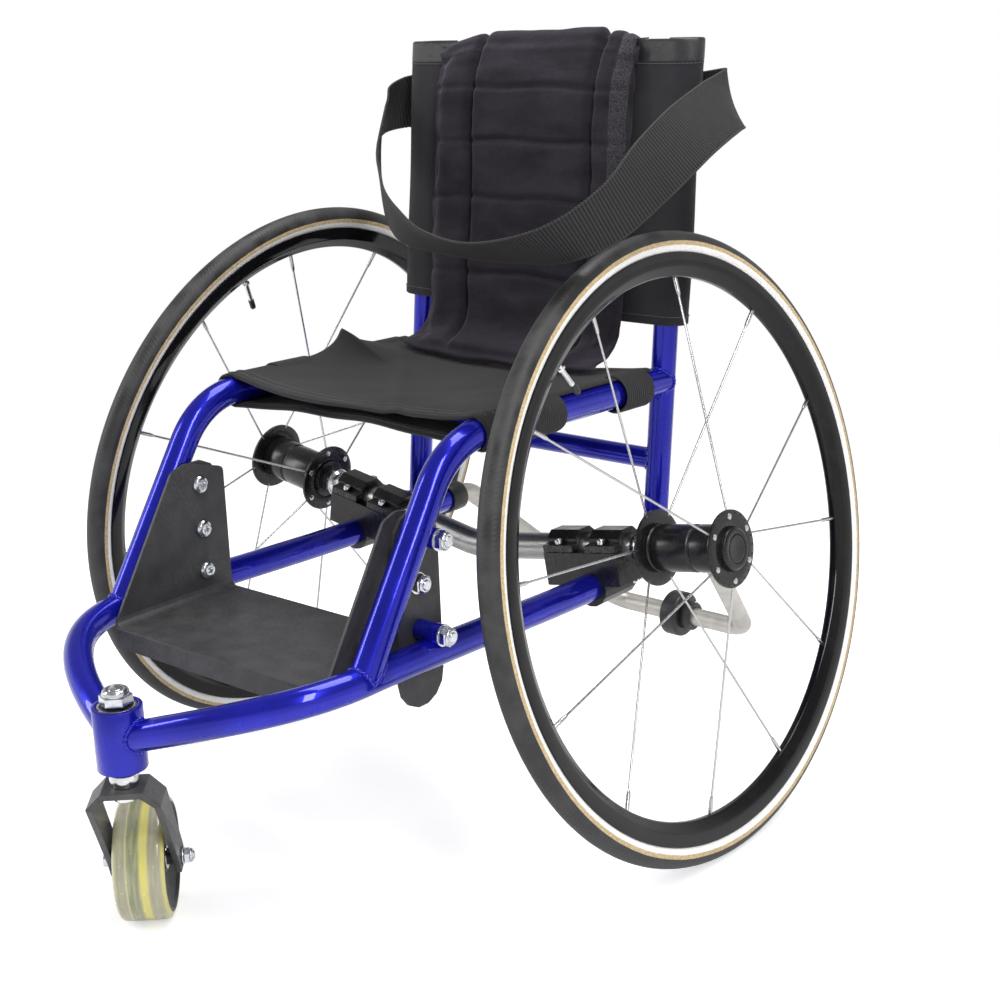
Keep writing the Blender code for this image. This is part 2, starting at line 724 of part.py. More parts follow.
def build_caster():
    swivel = empty("caster_swivel", (0, BARREL_Y, 0), (0, 0, CASTER_YAW))
    fork = add_object("caster_fork", fork_mesh(), BLACK_SATIN, swivel)
    stem_hole = helper("stem_hole", cylinder_mesh(
        "stem_hole", STEM_RADIUS + SEAT_GAP,
        (0, 0, FORK_TOP - 0.02), (0, 0, FORK_TOP + 0.02), SMALL_STEPS), swivel)
    reach = FORK_HALF_GAP + FORK_THICKNESS + 0.01
    axle_hole = helper("axle_hole", cylinder_mesh(
        "axle_hole", CASTER_AXLE_RADIUS + SEAT_GAP,
        (-reach, TRAIL, CASTER_RADIUS), (reach, TRAIL, CASTER_RADIUS), SMALL_STEPS), swivel)
    cut(fork, stem_hole, axle_hole)

    under = FORK_TOP - FORK_THICKNESS - SEAT_GAP
    neck = FORK_TOP + SEAT_GAP
    collar_top = BARREL_BOTTOM - SEAT_GAP
    nut_top = BARREL_TOP + SEAT_GAP + STEM_NUT_HEIGHT
    turned("caster_stem", [
        (0, nut_top),
        (STEM_RADIUS, nut_top),
        (STEM_RADIUS, collar_top),
        (STEM_COLLAR_RADIUS, collar_top),
        (STEM_COLLAR_RADIUS, collar_top - STEM_COLLAR_HEIGHT),
        (STEM_NECK_RADIUS, collar_top - STEM_COLLAR_HEIGHT),
        (STEM_NECK_RADIUS, neck),
        (STEM_RADIUS, neck),
        (STEM_RADIUS, under),
        (STEM_HEAD_RADIUS, under),
        (STEM_HEAD_RADIUS, under - STEM_HEAD_HEIGHT),
        (0, under - STEM_HEAD_HEIGHT),
    ], BRIGHT_STEEL, SMALL_STEPS, swivel)

    nut_bottom = BARREL_TOP + SEAT_GAP
    shoulder = nut_bottom + STEM_NUT_HEIGHT * 0.72
    nut = add_object("caster_stem_nut", cylinder_mesh(
        "caster_stem_nut", STEM_NUT_CORNER_RADIUS, (0, 0, nut_bottom), (0, 0, shoulder), 6), ZINC, swivel)
    crown = helper("stem_nut_crown", cylinder_mesh(
        "stem_nut_crown", STEM_NUT_CORNER_RADIUS * 0.80,
        (0, 0, nut_bottom + 0.002), (0, 0, nut_top), SMALL_STEPS), swivel)
    thread = helper("stem_nut_thread", cylinder_mesh(
        "stem_nut_thread", STEM_RADIUS + SEAT_GAP,
        (0, 0, nut_bottom - CUT_MARGIN), (0, 0, nut_top + CUT_MARGIN), SMALL_STEPS), swivel)
    join(nut, crown)
    cut(nut, thread)

    arm_face = FORK_HALF_GAP + FORK_THICKNESS + SEAT_GAP
    washer_end = arm_face + BOLT_WASHER_THICKNESS
    nut_end = washer_end + CASTER_NUT_HEIGHT
    axle_place = empty("caster_axle_line", (0, TRAIL, CASTER_RADIUS), (0, math.pi / 2, 0), swivel)
    axle = turned("caster_axle", [
        (0, nut_end + 0.002),
        (CASTER_AXLE_RADIUS, nut_end + 0.002),
        (CASTER_AXLE_RADIUS, washer_end),
        (CASTER_WASHER_RADIUS, washer_end),
        (CASTER_WASHER_RADIUS, arm_face),
        (CASTER_AXLE_RADIUS, arm_face),
        (CASTER_AXLE_RADIUS, -arm_face),
        (CASTER_WASHER_RADIUS, -arm_face),
        (CASTER_WASHER_RADIUS, -washer_end - 0.003),
        (CASTER_WASHER_RADIUS - 0.002, -washer_end - 0.0045),
        (0, -washer_end - 0.0045),
    ], ZINC, SMALL_STEPS, axle_place)
    join(axle, helper("caster_nut", cylinder_mesh(
        "caster_nut", CASTER_NUT_CORNER_RADIUS, (0, 0, washer_end - 0.001), (0, 0, nut_end), 6), axle_place))

    spin = empty("caster_spin", (0, 0, 0), (0, 0, 0), axle_place)
    half = CASTER_WIDTH / 2
    inner = CASTER_RADIUS - TREAD_THICKNESS
    shoulder_top = arc((CASTER_RADIUS - TREAD_ROUND, half - TREAD_ROUND), TREAD_ROUND, math.pi / 2, 0, 2)
    shoulder_low = arc((CASTER_RADIUS - TREAD_ROUND, TREAD_ROUND - half), TREAD_ROUND, 0, -math.pi / 2, 2)
    turned("caster_tread", [(inner, half)] + shoulder_top + shoulder_low + [(inner, -half)],
           URETHANE, BARREL_STEPS, spin, closed=True)
    hub_rim = inner - SEAT_GAP
    boss_half = FORK_HALF_GAP - RUN_GAP - SEAT_GAP
    turned("caster_hub", [
        (CASTER_BOSS_RADIUS, boss_half),
        (CASTER_BOSS_RADIUS, half - CASTER_DISH),
        (hub_rim - 0.002, half),
        (hub_rim, half),
        (hub_rim, -half),
        (hub_rim - 0.002, -half),
        (CASTER_BOSS_RADIUS, -half + CASTER_DISH),
        (CASTER_BOSS_RADIUS, -boss_half),
        (CASTER_BORE_RADIUS, -boss_half),
        (CASTER_BORE_RADIUS, boss_half),
    ], HARD_BLACK, BARREL_STEPS, spin, closed=True)


# Footplate
def plate_shell_outline():
    """Folded section across the chair, as (x, z): cheeks, floor and their folds."""
    outer = PLATE_HALF_WIDTH
    inner = outer - SHEET
    top = PLATE_PEAK_HEIGHT + 0.02
    bottom = PLATE_FLOOR_TOP - SHEET
    fold = PLATE_FOLD_RADIUS
    centre = (outer - fold, bottom + fold)
    right_out = arc(centre, fold, 0, -math.pi / 2, 3)
    left_out = arc((-centre[0], centre[1]), fold, -math.pi / 2, -math.pi, 3)
    left_in = arc((-centre[0], centre[1]), fold - SHEET, -math.pi, -math.pi / 2, 3)
    right_in = arc(centre, fold - SHEET, -math.pi / 2, 0, 3)
    return (
        [(outer, top)] + right_out + left_out + [(-outer, top), (-inner, top)]
        + left_in + right_in + [(inner, top)]
    )


def cheek_outline():
    """Side view of the footplate, as (y, z)."""
    bottom = PLATE_FLOOR_TOP - SHEET - CUT_MARGIN / 5
    toe = ahead(PLATE_TOE_AHEAD)
    corners = [
        (0, toe, bottom),
        (0, toe, PLATE_FLOOR_TOP),
        (0, ahead(PLATE_CHEEK_AHEAD), PLATE_CHEEK_HEIGHT),
        (0, ahead(PLATE_PEAK_AHEAD), PLATE_PEAK_HEIGHT),
        (0, ahead(PLATE_REAR_AHEAD), PLATE_REAR_HEIGHT),
        (0, ahead(PLATE_REAR_AHEAD), bottom),
    ]
    return rounded_path(corners, PLATE_CORNER_RADII, 3)


def build_footplate():
    front = ahead(PLATE_TOE_AHEAD) - CUT_MARGIN
    length = PLATE_TOE_AHEAD - PLATE_REAR_AHEAD + 2 * CUT_MARGIN
    shell = [(x, front, z) for x, z in plate_shell_outline()]
    plate = add_object("footplate", prism_mesh("footplate", shell, (0, length, 0)), BLACK_SATIN)
    side_view = [Vector((-PLATE_HALF_WIDTH - CUT_MARGIN, y, z)) for _, y, z in cheek_outline()]
    width = 2 * (PLATE_HALF_WIDTH + CUT_MARGIN)
    keep = helper("cheek_shape", prism_mesh("cheek_shape", side_view, (width, 0, 0)))
    boolean(plate, keep, "INTERSECT")

    toe = ahead(PLATE_TOE_AHEAD)
    slope = Vector((0, -PLATE_LIP_REACH, -PLATE_LIP_DROP))
    across = Vector((0, slope.z, -slope.y)).normalized() * SHEET
    half = PLATE_HALF_WIDTH - PLATE_FOLD_RADIUS
    top = Vector((-half, toe + PLATE_LIP_EASE, PLATE_FLOOR_TOP))
    rear_top = top + Vector((0, PLATE_LIP_LAP, -SEAT_GAP))
    low = top + slope
    inner_top = top - across + Vector((0, PLATE_LIP_LAP / 4, 0))
    inner_rear = rear_top + Vector((0, 0, 2 * SEAT_GAP - SHEET))
    lip = [rear_top, top, low, low - across, inner_top, inner_rear]
    join(plate, helper("plate_lip", prism_mesh("plate_lip", lip, (2 * half, 0, 0))))

    strip_in = PLATE_HALF_WIDTH + SEAT_GAP
    middle = ahead(STRIP_AHEAD)
    high = (middle, STRIP_TOP - STRIP_HALF_WIDTH)
    low_end = (middle, STRIP_BOTTOM + STRIP_HALF_WIDTH)
    outline = arc(high, STRIP_HALF_WIDTH, 0, math.pi, 7)
    outline += arc(low_end, STRIP_HALF_WIDTH, math.pi, math.tau, 7)
    for label, side in SIDES.items():
        stadium = [(side * strip_in, y, z) for y, z in outline]
        strip = add_object(
            f"footplate_strip_{label}",
            prism_mesh(f"footplate_strip_{label}", stadium, (side * STRIP_SHEET, 0, 0)), BLACK_SATIN,
        )
        for row, height in enumerate(BOLT_HEIGHTS):
            bore = bolt_bore(f"plate_bore_{label}_{row + 1}", side, height)
            cut(plate, bore)
            cut(strip, bore)
            build_plate_bolt(f"footplate_bolt_{label}_{row + 1}", side, height, row == 1)


def build_plate_bolt(name, side, height, short):
    """A button-head bolt from inside the plate, with a nut and washer on its outer end."""
    head = PLATE_HALF_WIDTH - SHEET - SEAT_GAP
    seat = boss_start() if short else BOSS_END + SEAT_GAP
    washer = seat + BOLT_WASHER_THICKNESS
    nut_end = washer + BOLT_NUT_HEIGHT
    place = empty(f"{name}_line", (0, ahead(BOLT_AHEAD), height), (0, side * math.pi / 2, 0))
    bolt = turned(name, [
        (0, nut_end + 0.0015),
        (BOLT_RADIUS, nut_end + 0.0015),
        (BOLT_RADIUS, washer),
        (BOLT_WASHER_RADIUS, washer),
        (BOLT_WASHER_RADIUS, seat),
        (BOLT_RADIUS, seat),
        (BOLT_RADIUS, head),
        (BOLT_HEAD_RADIUS, head),
        (BOLT_HEAD_RADIUS * 0.65, head - BOLT_HEAD_HEIGHT),
        (0, head - BOLT_HEAD_HEIGHT),
    ], ZINC, SMALL_STEPS, place)
    join(bolt, helper(f"{name}_nut", cylinder_mesh(
        f"{name}_nut", BOLT_NUT_CORNER_RADIUS, (0, 0, washer - 0.0008), (0, 0, nut_end), 6), place))


# Camber tube, clamps and stub axles
def wheel_centre(side):
    return Vector((side * HALF_TRACK, AXLE_Y, WHEEL_HEIGHT))


def axle_direction(side):
    return Vector((side * math.cos(CAMBER), 0, math.sin(CAMBER)))


def axle_point(side, x):
    """Point of the wheel's axle line at that distance from the chair's middle plane."""
    return wheel_centre(side) - axle_direction(side) * ((HALF_TRACK - x) / math.cos(CAMBER))


def camber_path():
    ends = [wheel_centre(side) - axle_direction(side) * CAMBER_TUBE_END for side in (-1, 1)]
    return rounded_path((ends[0], axle_point(1, 0), ends[1]), (CAMBER_BEND_RADIUS,), 5)


def camber_cutter(name):
    return helper(name, tube_mesh(name, camber_path(), CAMBER_TUBE_RADIUS + SEAT_GAP))


def build_camber_tube():
    tube_shape = tube_mesh("camber_tube", camber_path(), CAMBER_TUBE_RADIUS)
    tube = add_object("camber_tube", tube_shape, BRUSHED_GREY)
    for label, side in SIDES.items():
        place = empty(f"axle_line_{label}", wheel_centre(side), (0, side * (math.pi / 2 - CAMBER), 0))
        socket = helper(f"axle_socket_{label}", cylinder_mesh(
            f"axle_socket_{label}", AXLE_SPIGOT_RADIUS + SEAT_GAP,
            (0, 0, -CAMBER_TUBE_END - AXLE_SPIGOT_LENGTH - 0.002), (0, 0, -CAMBER_TUBE_END + 0.02)), place)
        cut(tube, socket)
        shoulder_in = -CAMBER_TUBE_END + SEAT_GAP
        shoulder_out = shoulder_in + AXLE_SHOULDER_LENGTH
        stem = BUTTON_STEM_RADIUS + SEAT_GAP
        stem_end = AXLE_PIN_END - BUTTON_STEM_LENGTH - BUTTON_TRAVEL - RUN_GAP
        turned(f"stub_axle_{label}", [
            (stem, AXLE_PIN_END),
            (AXLE_PIN_RADIUS, AXLE_PIN_END),
            (AXLE_PIN_RADIUS, shoulder_out),
            (AXLE_SHOULDER_RADIUS, shoulder_out),
            (AXLE_SHOULDER_RADIUS, shoulder_in),
            (AXLE_SPIGOT_RADIUS, shoulder_in),
            (AXLE_SPIGOT_RADIUS, shoulder_in - AXLE_SPIGOT_LENGTH),
            (0, shoulder_in - AXLE_SPIGOT_LENGTH),
            (0, stem_end),
            (stem, stem_end),
        ], BLACK_ANODISED, parent=place, closed=True)


def cap_outline(x):
    """Section of a clamp cap across its tube, above the joint face."""
    foot = SEAT_GAP * 2
    half = CLAMP_DEPTH / 2
    right = [
        (half, foot),
        (half, CAP_EAR_HEIGHT),
        (CAP_SHOULDER_HALF_WIDTH, CAP_EAR_HEIGHT + 0.001),
        (CAP_SHOULDER_HALF_WIDTH, CAP_TOP - CAP_CHAMFER),
        (CAP_TOP_HALF_WIDTH, CAP_TOP),
    ]
    left = [(-y, z) for y, z in reversed(right)]
    return [(x, y, z) for y, z in right + left]


def build_clamp(label, side):
    centre = axle_point(side, CLAMP_CENTRE)
    place = empty(f"clamp_frame_{label}", centre, (0, -side * CAMBER, 0))
    half_length = CLAMP_LENGTH / 2
    half_depth = CLAMP_DEPTH / 2
    block = add_object(f"clamp_block_{label}", box_mesh(
        f"clamp_block_{label}", (-half_length, -half_depth, -CLAMP_DROP), (half_length, half_depth, 0)),
        BLACK_ANODISED, place)
    ring_x = side * FRAME_HALF_WIDTH
    ring = helper(f"clamp_ring_{label}", cylinder_mesh(
        f"clamp_ring_{label}", CLAMP_RING_RADIUS,
        (ring_x, AXLE_Y - half_depth, BASE_REAR_HEIGHT), (ring_x, AXLE_Y + half_depth, BASE_REAR_HEIGHT)))
    join(block, ring)
    tube = camber_cutter(f"clamp_bore_{label}")
    cut(block, tube)

    for number, sign in ((1, -1), (2, 1)):
        middle = side * sign * CAP_SPACING / 2
        cap = add_object(f"clamp_cap_{label}_{number}", prism_mesh(
            f"clamp_cap_{label}_{number}", cap_outline(middle - CAP_LENGTH / 2), (CAP_LENGTH, 0, 0)),
            BLACK_ANODISED, place)
        cut(cap, tube)
        tag = f"{label}_{number}"
        front_bore = helper(f"front_bore_{tag}", cylinder_mesh(
            f"front_bore_{tag}", CLAMP_BOLT_RADIUS + SEAT_GAP,
            (middle, -CLAMP_BOLT_OFFSET, -CLAMP_BOLT_BITE - 0.0006),
            (middle, -CLAMP_BOLT_OFFSET, CAP_TOP + 0.01), SCREW_STEPS), place)
        rear_bore = helper(f"rear_bore_{tag}", cylinder_mesh(
            f"rear_bore_{tag}", CLAMP_BOLT_RADIUS + SEAT_GAP,
            (middle, CLAMP_BOLT_OFFSET, 0), (middle, CLAMP_BOLT_OFFSET, CAP_TOP + 0.01), SCREW_STEPS), place)
        cut(cap, front_bore, rear_bore)
        cut(block, front_bore)

        head = CAP_EAR_HEIGHT + SEAT_GAP + 0.001
        screw_place = empty(f"clamp_bolt_line_{tag}", (middle, -CLAMP_BOLT_OFFSET, 0), parent=place)
        turned(f"clamp_bolt_{tag}", [
            (0, head + CLAMP_BOLT_HEAD_HEIGHT),
            (CLAMP_BOLT_HEAD_RADIUS, head + CLAMP_BOLT_HEAD_HEIGHT),
            (CLAMP_BOLT_HEAD_RADIUS, head),
            (CLAMP_BOLT_RADIUS, head),
            (CLAMP_BOLT_RADIUS, -CLAMP_BOLT_BITE),
            (0, -CLAMP_BOLT_BITE),
        ], BRIGHT_STEEL, SCREW_STEPS, screw_place)

        nut_face = -CLAMP_DROP
        stud_top = head + CLAMP_BOLT_HEAD_HEIGHT
        stud = helper(f"rear_stud_{tag}", cylinder_mesh(
            f"rear_stud_{tag}", CLAMP_BOLT_RADIUS,
            (middle, CLAMP_BOLT_OFFSET, nut_face + 0.004),
            (middle, CLAMP_BOLT_OFFSET, stud_top - 0.001), SCREW_STEPS), place)
        stud_head = helper(f"rear_head_{tag}", cylinder_mesh(
            f"rear_head_{tag}", CLAMP_BOLT_HEAD_RADIUS,
            (middle, CLAMP_BOLT_OFFSET, head), (middle, CLAMP_BOLT_OFFSET, stud_top), SCREW_STEPS), place)
        nut = helper(f"rear_nut_{tag}", cylinder_mesh(
            f"rear_nut_{tag}", CLAMP_NUT_CORNER_RADIUS,
            (middle, CLAMP_BOLT_OFFSET, nut_face - CLAMP_NUT_HEIGHT),
            (middle, CLAMP_BOLT_OFFSET, nut_face + 0.003), 6), place)
        join(block, stud, stud_head, nut)
    cut(block, base_tube_cutter(f"base_bore_{label}", side))


# Drive wheels
def rim_profile():
    """Deep rim section around the tyre's seat, as (radius, offset)."""
    seat_centre = TYRE_RADIUS - TYRE_SECTION
    lip = RIM_HALF_WIDTH - RIM_LIP
    half_step = math.asin(lip / TYRE_SECTION) / RIM_SEAT_STEPS
    seat_radius = (TYRE_SECTION + SEAT_GAP) / math.cos(half_step)
    dip = math.asin(lip / seat_radius)
    seat = arc((seat_centre, 0), seat_radius, math.pi + dip, math.pi - dip, RIM_SEAT_STEPS)
    track = RIM_EDGE_RADIUS - 0.012
    side = [
        (RIM_EDGE_RADIUS, lip),
        (RIM_EDGE_RADIUS, RIM_HALF_WIDTH),
        (track, RIM_HALF_WIDTH - 0.0005),
        (RIM_INNER_RADIUS + 0.0035, RIM_NOSE_HALF_WIDTH + 0.0012),
        (RIM_INNER_RADIUS, RIM_NOSE_HALF_WIDTH - 0.0015),
    ]
    far = [(radius, -offset) for radius, offset in reversed(side)]
    return side + far + seat


def tyre_profile():
    """Hollow tyre section, open along its seat."""
    centre = (TYRE_RADIUS - TYRE_SECTION, 0)
    opening = math.radians(24)
    outer = arc(centre, TYRE_SECTION, math.pi - opening, -math.pi + opening, 8)
    inner = arc(centre, TYRE_SECTION - TYRE_WALL, -math.pi + opening, math.pi - opening, 3)
    return outer + inner


def spoke_direction(side, angle):
    """In the wheel's own frame: angles are measured from the wheel's top towards the front."""
    return Vector((-side * math.cos(angle), -math.sin(angle), 0))


def spoke_meshes(name, side, place, flange, nipple_angle, lead):
    rim_flat = RIM_INNER_RADIUS * math.cos(math.pi / RING_STEPS)
    tilt = abs(flange) / RIM_INNER_RADIUS
    nipple_end = spoke_direction(side, nipple_angle) * (rim_flat - SEAT_GAP - NIPPLE_RADIUS * tilt)
    root = spoke_direction(side, nipple_angle + lead) * SPOKE_HEAD_CIRCLE
    root.z = flange
    run = (root - nipple_end).normalized()
    nipple_start = nipple_end + run * NIPPLE_LENGTH
    spoke = cylinder_mesh(name, SPOKE_RADIUS, root, nipple_end + run * 0.002, 4)
    nipple = cylinder_mesh(f"{name}_nipple", NIPPLE_RADIUS, nipple_start, nipple_end, 6)
    outward = math.copysign(1, flange)
    face = flange + outward * FLANGE_THICKNESS / 2
    top = root.copy()
    top.z = face + outward * SPOKE_HEAD_HEIGHT
    base = root.copy()
    base.z = flange
    pieces = [spoke, nipple]
    if flange > 0:
        pieces.append(cylinder_mesh(f"{name}_head", SPOKE_HEAD_RADIUS, base, top, 6))
    return [helper(mesh.name, mesh, place) for mesh in pieces]


def build_wheel(label, side):
    place = empty(f"wheel_spin_{label}", wheel_centre(side), (0, side * (math.pi / 2 - CAMBER), 0))
    turned(f"tyre_{label}", tyre_profile(), RUBBER, RING_STEPS, place, closed=True)

    rim = turned(f"rim_{label}", rim_profile(), RIM_BLACK, RING_STEPS, place, closed=True)
    valve_way = spoke_direction(side, FIRST_NIPPLE[side] + VALVE_LEAD)
    join(rim, helper(f"valve_{label}", cylinder_mesh(
        f"valve_{label}", VALVE_RADIUS, valve_way * (RIM_INNER_RADIUS + 0.005),
        valve_way * (RIM_INNER_RADIUS - VALVE_LENGTH), SCREW_STEPS), place))

    half = FLANGE_THICKNESS / 2
    boss_end = OUTER_FLANGE + HUB_BOSS_REACH
    inner_end = -INNER_FLANGE - half - HUB_INNER_LIP
    outer_face = OUTER_FLANGE - half - SEAT_GAP
    inner_face = -INNER_FLANGE + half + SEAT_GAP
    pocket_floor = boss_end - BUTTON_POCKET_DEPTH
    bore = AXLE_PIN_RADIUS + RUN_GAP / 2
    pocket = BUTTON_RADIUS + RUN_GAP / 2
    middle = (outer_face + inner_face) / 2
    turned(f"hub_shell_{label}", [
        (pocket, boss_end),
        (HUB_SPIGOT_RADIUS - 0.001, boss_end),
        (HUB_SPIGOT_RADIUS, boss_end - 0.001),
        (HUB_SPIGOT_RADIUS, outer_face),
        (HUB_RADIUS, outer_face),
        (HUB_RADIUS, middle),
        (HUB_WAIST_RADIUS, middle - 0.002),
        (HUB_WAIST_RADIUS, inner_face + 0.006),
        (HUB_RADIUS, inner_face + 0.003),
        (HUB_RADIUS, inner_face),
        (HUB_SPIGOT_RADIUS, inner_face),
        (HUB_SPIGOT_RADIUS, inner_end),
        (bore, inner_end),
        (bore, pocket_floor),
        (pocket, pocket_floor),
    ], BLACK_ANODISED, parent=place, closed=True)

    flanges = (("outer", OUTER_FLANGE, 1, SPOKE_LEAD), ("inner", -INNER_FLANGE, 0, -SPOKE_LEAD))
    for which, offset, first, lead in flanges:
        name = f"{which}_flange_with_spokes_{label}"
        flange = turned(name, [
            (HUB_SPIGOT_RADIUS + SEAT_GAP, offset + half),
            (FLANGE_RADIUS, offset + half),
            (FLANGE_RADIUS, offset - half),
            (HUB_SPIGOT_RADIUS + SEAT_GAP, offset - half),
        ], BLACK_ANODISED, parent=place, closed=True)
        pitch = math.tau / SPOKE_COUNT
        for number in range(first, SPOKE_COUNT, 2):
            angle = FIRST_NIPPLE[side] + number * pitch
            tag = f"spoke_{which}_{label}_{number}"
            join(flange, *spoke_meshes(tag, side, place, offset, angle, lead))

    button_top = boss_end + SEAT_GAP
    button_low = button_top - BUTTON_THICKNESS
    button_place = empty(f"button_slide_{label}", (0, 0, 0), parent=place)
    turned(f"release_button_{label}", [
        (0, button_top),
        (BUTTON_RADIUS - 0.0008, button_top),
        (BUTTON_RADIUS, button_top - 0.0008),
        (BUTTON_RADIUS, button_low),
        (BUTTON_STEM_RADIUS, button_low),
        (BUTTON_STEM_RADIUS, AXLE_PIN_END - BUTTON_STEM_LENGTH),
        (0, AXLE_PIN_END - BUTTON_STEM_LENGTH),
    ], BLACK_ANODISED, parent=button_place)


# Anti-tip bar
def bar_path(extra=0.0):
    """From one base tube's end round to the other's; extra reaches further into both."""
    inner = BASE_END_BEHIND - BAR_INSERTION - extra
    points = []
    for side in (-1, 1):
        run = [
            (side * FRAME_HALF_WIDTH, behind(inner), BASE_REAR_HEIGHT),
            (side * FRAME_HALF_WIDTH, behind(BAR_BEND_BEHIND), BASE_REAR_HEIGHT),
            (side * BAR_TAIL_HALF_WIDTH, behind(BAR_ROLLER_BEHIND), BAR_ROLLER_HEIGHT),
        ]
        points += run if side < 0 else run[::-1]
    radii = (BAR_SHOULDER_RADIUS, BAR_TAIL_RADIUS, BAR_TAIL_RADIUS, BAR_SHOULDER_RADIUS)
    return rounded_path(points, radii, 4)


def build_anti_tip():
    add_object("anti_tip_bar", tube_mesh("anti_tip_bar", bar_path(), BAR_RADIUS), WARM_GREY)
    for label, side in SIDES.items():
        end = BASE_END_BEHIND + SEAT_GAP
        outer_end = end + COLLAR_LIP
        place = empty(
            f"collar_line_{label}", (side * FRAME_HALF_WIDTH, AXLE_Y, BASE_REAR_HEIGHT), (-math.pi / 2, 0, 0))
        turned(f"bar_collar_{label}", [
            (BAR_RADIUS + SEAT_GAP * 2, outer_end),
            (COLLAR_RADIUS - 0.001, outer_end),
            (COLLAR_RADIUS, outer_end - 0.001),
            (COLLAR_RADIUS, outer_end - COLLAR_LENGTH),
            (TUBE_RADIUS + SEAT_GAP, outer_end - COLLAR_LENGTH),
            (TUBE_RADIUS + SEAT_GAP, end),
            (BAR_RADIUS + SEAT_GAP * 2, end),
        ], HARD_BLACK, parent=place, closed=True)
    place = empty("roller_line", (0, behind(BAR_ROLLER_BEHIND), BAR_ROLLER_HEIGHT), (0, math.pi / 2, 0))
    bore = BAR_RADIUS + RUN_GAP
    half = ROLLER_WIDTH / 2
    round_off = ROLLER_ROUND
    spin = empty("roller_spin", (0, 0, 0), parent=place)
    turned("anti_tip_roller", [
        (bore, half),
        (ROLLER_RADIUS - round_off, half),
        (ROLLER_RADIUS - round_off * 0.3, half - round_off * 0.3),
        (ROLLER_RADIUS, half - round_off),
        (ROLLER_RADIUS, round_off - half),
        (ROLLER_RADIUS - round_off * 0.3, round_off * 0.3 - half),
        (ROLLER_RADIUS - round_off, -half),
        (bore, -half),
    ], HARD_BLACK, parent=spin, closed=True)
    stop_start = half + RUN_GAP
    turned("roller_stop_collar", [
        (BAR_RADIUS + SEAT_GAP, stop_start + STOP_COLLAR_WIDTH),
        (STOP_COLLAR_RADIUS - 0.0008, stop_start + STOP_COLLAR_WIDTH),
        (STOP_COLLAR_RADIUS, stop_start + STOP_COLLAR_WIDTH - 0.0008),
        (STOP_COLLAR_RADIUS, stop_start),
        (BAR_RADIUS + SEAT_GAP, stop_start),
    ], HARD_BLACK, parent=place, closed=True)


# Soft parts
def cloth(name, columns, rows, place, thickness, look):
    """A sheet of even thickness; place(u, v) gives its middle surface."""
    bm = bmesh.new()
    bmesh.ops.create_grid(bm, x_segments=columns, y_segments=rows, size=0.5)
    for vert in bm.verts:
        vert.co = place(vert.co.x + 0.5, vert.co.y + 0.5)
    obj = add_object(name, finished(bm, name), look)
    solid = obj.modifiers.new("thickness", "SOLIDIFY")
    solid.thickness = thickness
    solid.offset = 0.0
    solid.use_even_offset = True
    return obj


def wrap_radius(thickness, sweep, steps):
    """Middle radius of a cloth wrapped round a rail in flat steps, so that its flats clear the tube."""
    return (TUBE_RADIUS + CLOTH_GAP + thickness / 2) / math.cos(sweep / steps / 2)


def seat_wrap_radius():
    return wrap_radius(SLING_THICKNESS, math.pi / 2 + SEAT_WRAP, SEAT_WRAP_STEPS)


def seat_height(x, y):
    """Height of the seat cloth's middle surface between the rails."""
    share = min(abs(x) / FRAME_HALF_WIDTH, 1.0)
    sag = SEAT_SAG * (1 - share * share)
    crease = CREASE_HEIGHT * math.sin((x + 1.6 * (y - AXLE_Y)) * 38) * (1 - share**4)
    pucker = PUCKER_HEIGHT * math.exp(-((y - ahead(PUCKER_AHEAD)) / PUCKER_LENGTH) ** 2)
    lift = pucker * smoothstep((-x - 0.09) / (FRAME_HALF_WIDTH - 0.09))
    return rail_height(y) + seat_wrap_radius() - sag + crease + lift


def seat_row(row):
    """Y of one row of the seat: its front edge, the end of the rail's knee bend, then even steps."""
    front = ahead(SEAT_FRONT_AHEAD)
    knee_end = side_frame_path(1)[-2].y
    if row == 0:
        return front
    return knee_end + (behind(SEAT_REAR_BEHIND) - knee_end) * (row - 1) / (SEAT_ROWS - 1)


def seat_place(u, v):
    y = seat_row(round(v * SEAT_ROWS))
    wrap_share = SEAT_WRAP_STEPS / SEAT_COLUMNS
    radius = seat_wrap_radius()
    side = -1 if u < 0.5 else 1
    edge = u if u < 0.5 else 1 - u
    if edge >= wrap_share:
        x = side * FRAME_HALF_WIDTH * (1 - (edge - wrap_share) / (0.5 - wrap_share))
        return Vector((x, y, seat_height(x, y)))
    turn = -SEAT_WRAP + (math.pi / 2 + SEAT_WRAP) * edge / wrap_share
    x = side * (FRAME_HALF_WIDTH + radius * math.cos(turn))
    lift = seat_height(side * FRAME_HALF_WIDTH, y) - rail_height(y) - radius
    lift *= smoothstep(2 * edge / wrap_share - 1)
    return Vector((x, y, rail_height(y) + radius * math.sin(turn) + lift))


def under_strap_place(u, v):
    """Strap below the seat's front edge, from the underside of one rail to the other."""
    y = ahead(UNDER_STRAP_AHEAD) + v * UNDER_STRAP_DEPTH
    sweep = math.pi / 2 - UNDER_STRAP_START
    radius = wrap_radius(UNDER_STRAP_THICKNESS, sweep, UNDER_STRAP_WRAP_STEPS)
    wrap_share = UNDER_STRAP_WRAP_STEPS / UNDER_STRAP_COLUMNS
    side = -1 if u < 0.5 else 1
    edge = u if u < 0.5 else 1 - u
    if edge < wrap_share:
        turn = -UNDER_STRAP_START - sweep * edge / wrap_share
        x = side * (FRAME_HALF_WIDTH + radius * math.cos(turn))
        return Vector((x, y, rail_height(y) + radius * math.sin(turn)))
    across = (edge - wrap_share) / (0.5 - wrap_share)
    x = side * FRAME_HALF_WIDTH * (1 - across)
    rise = (1 - (x / FRAME_HALF_WIDTH) ** 2) * UNDER_STRAP_RISE
    return Vector((x, y, rail_height(y) - radius + rise))


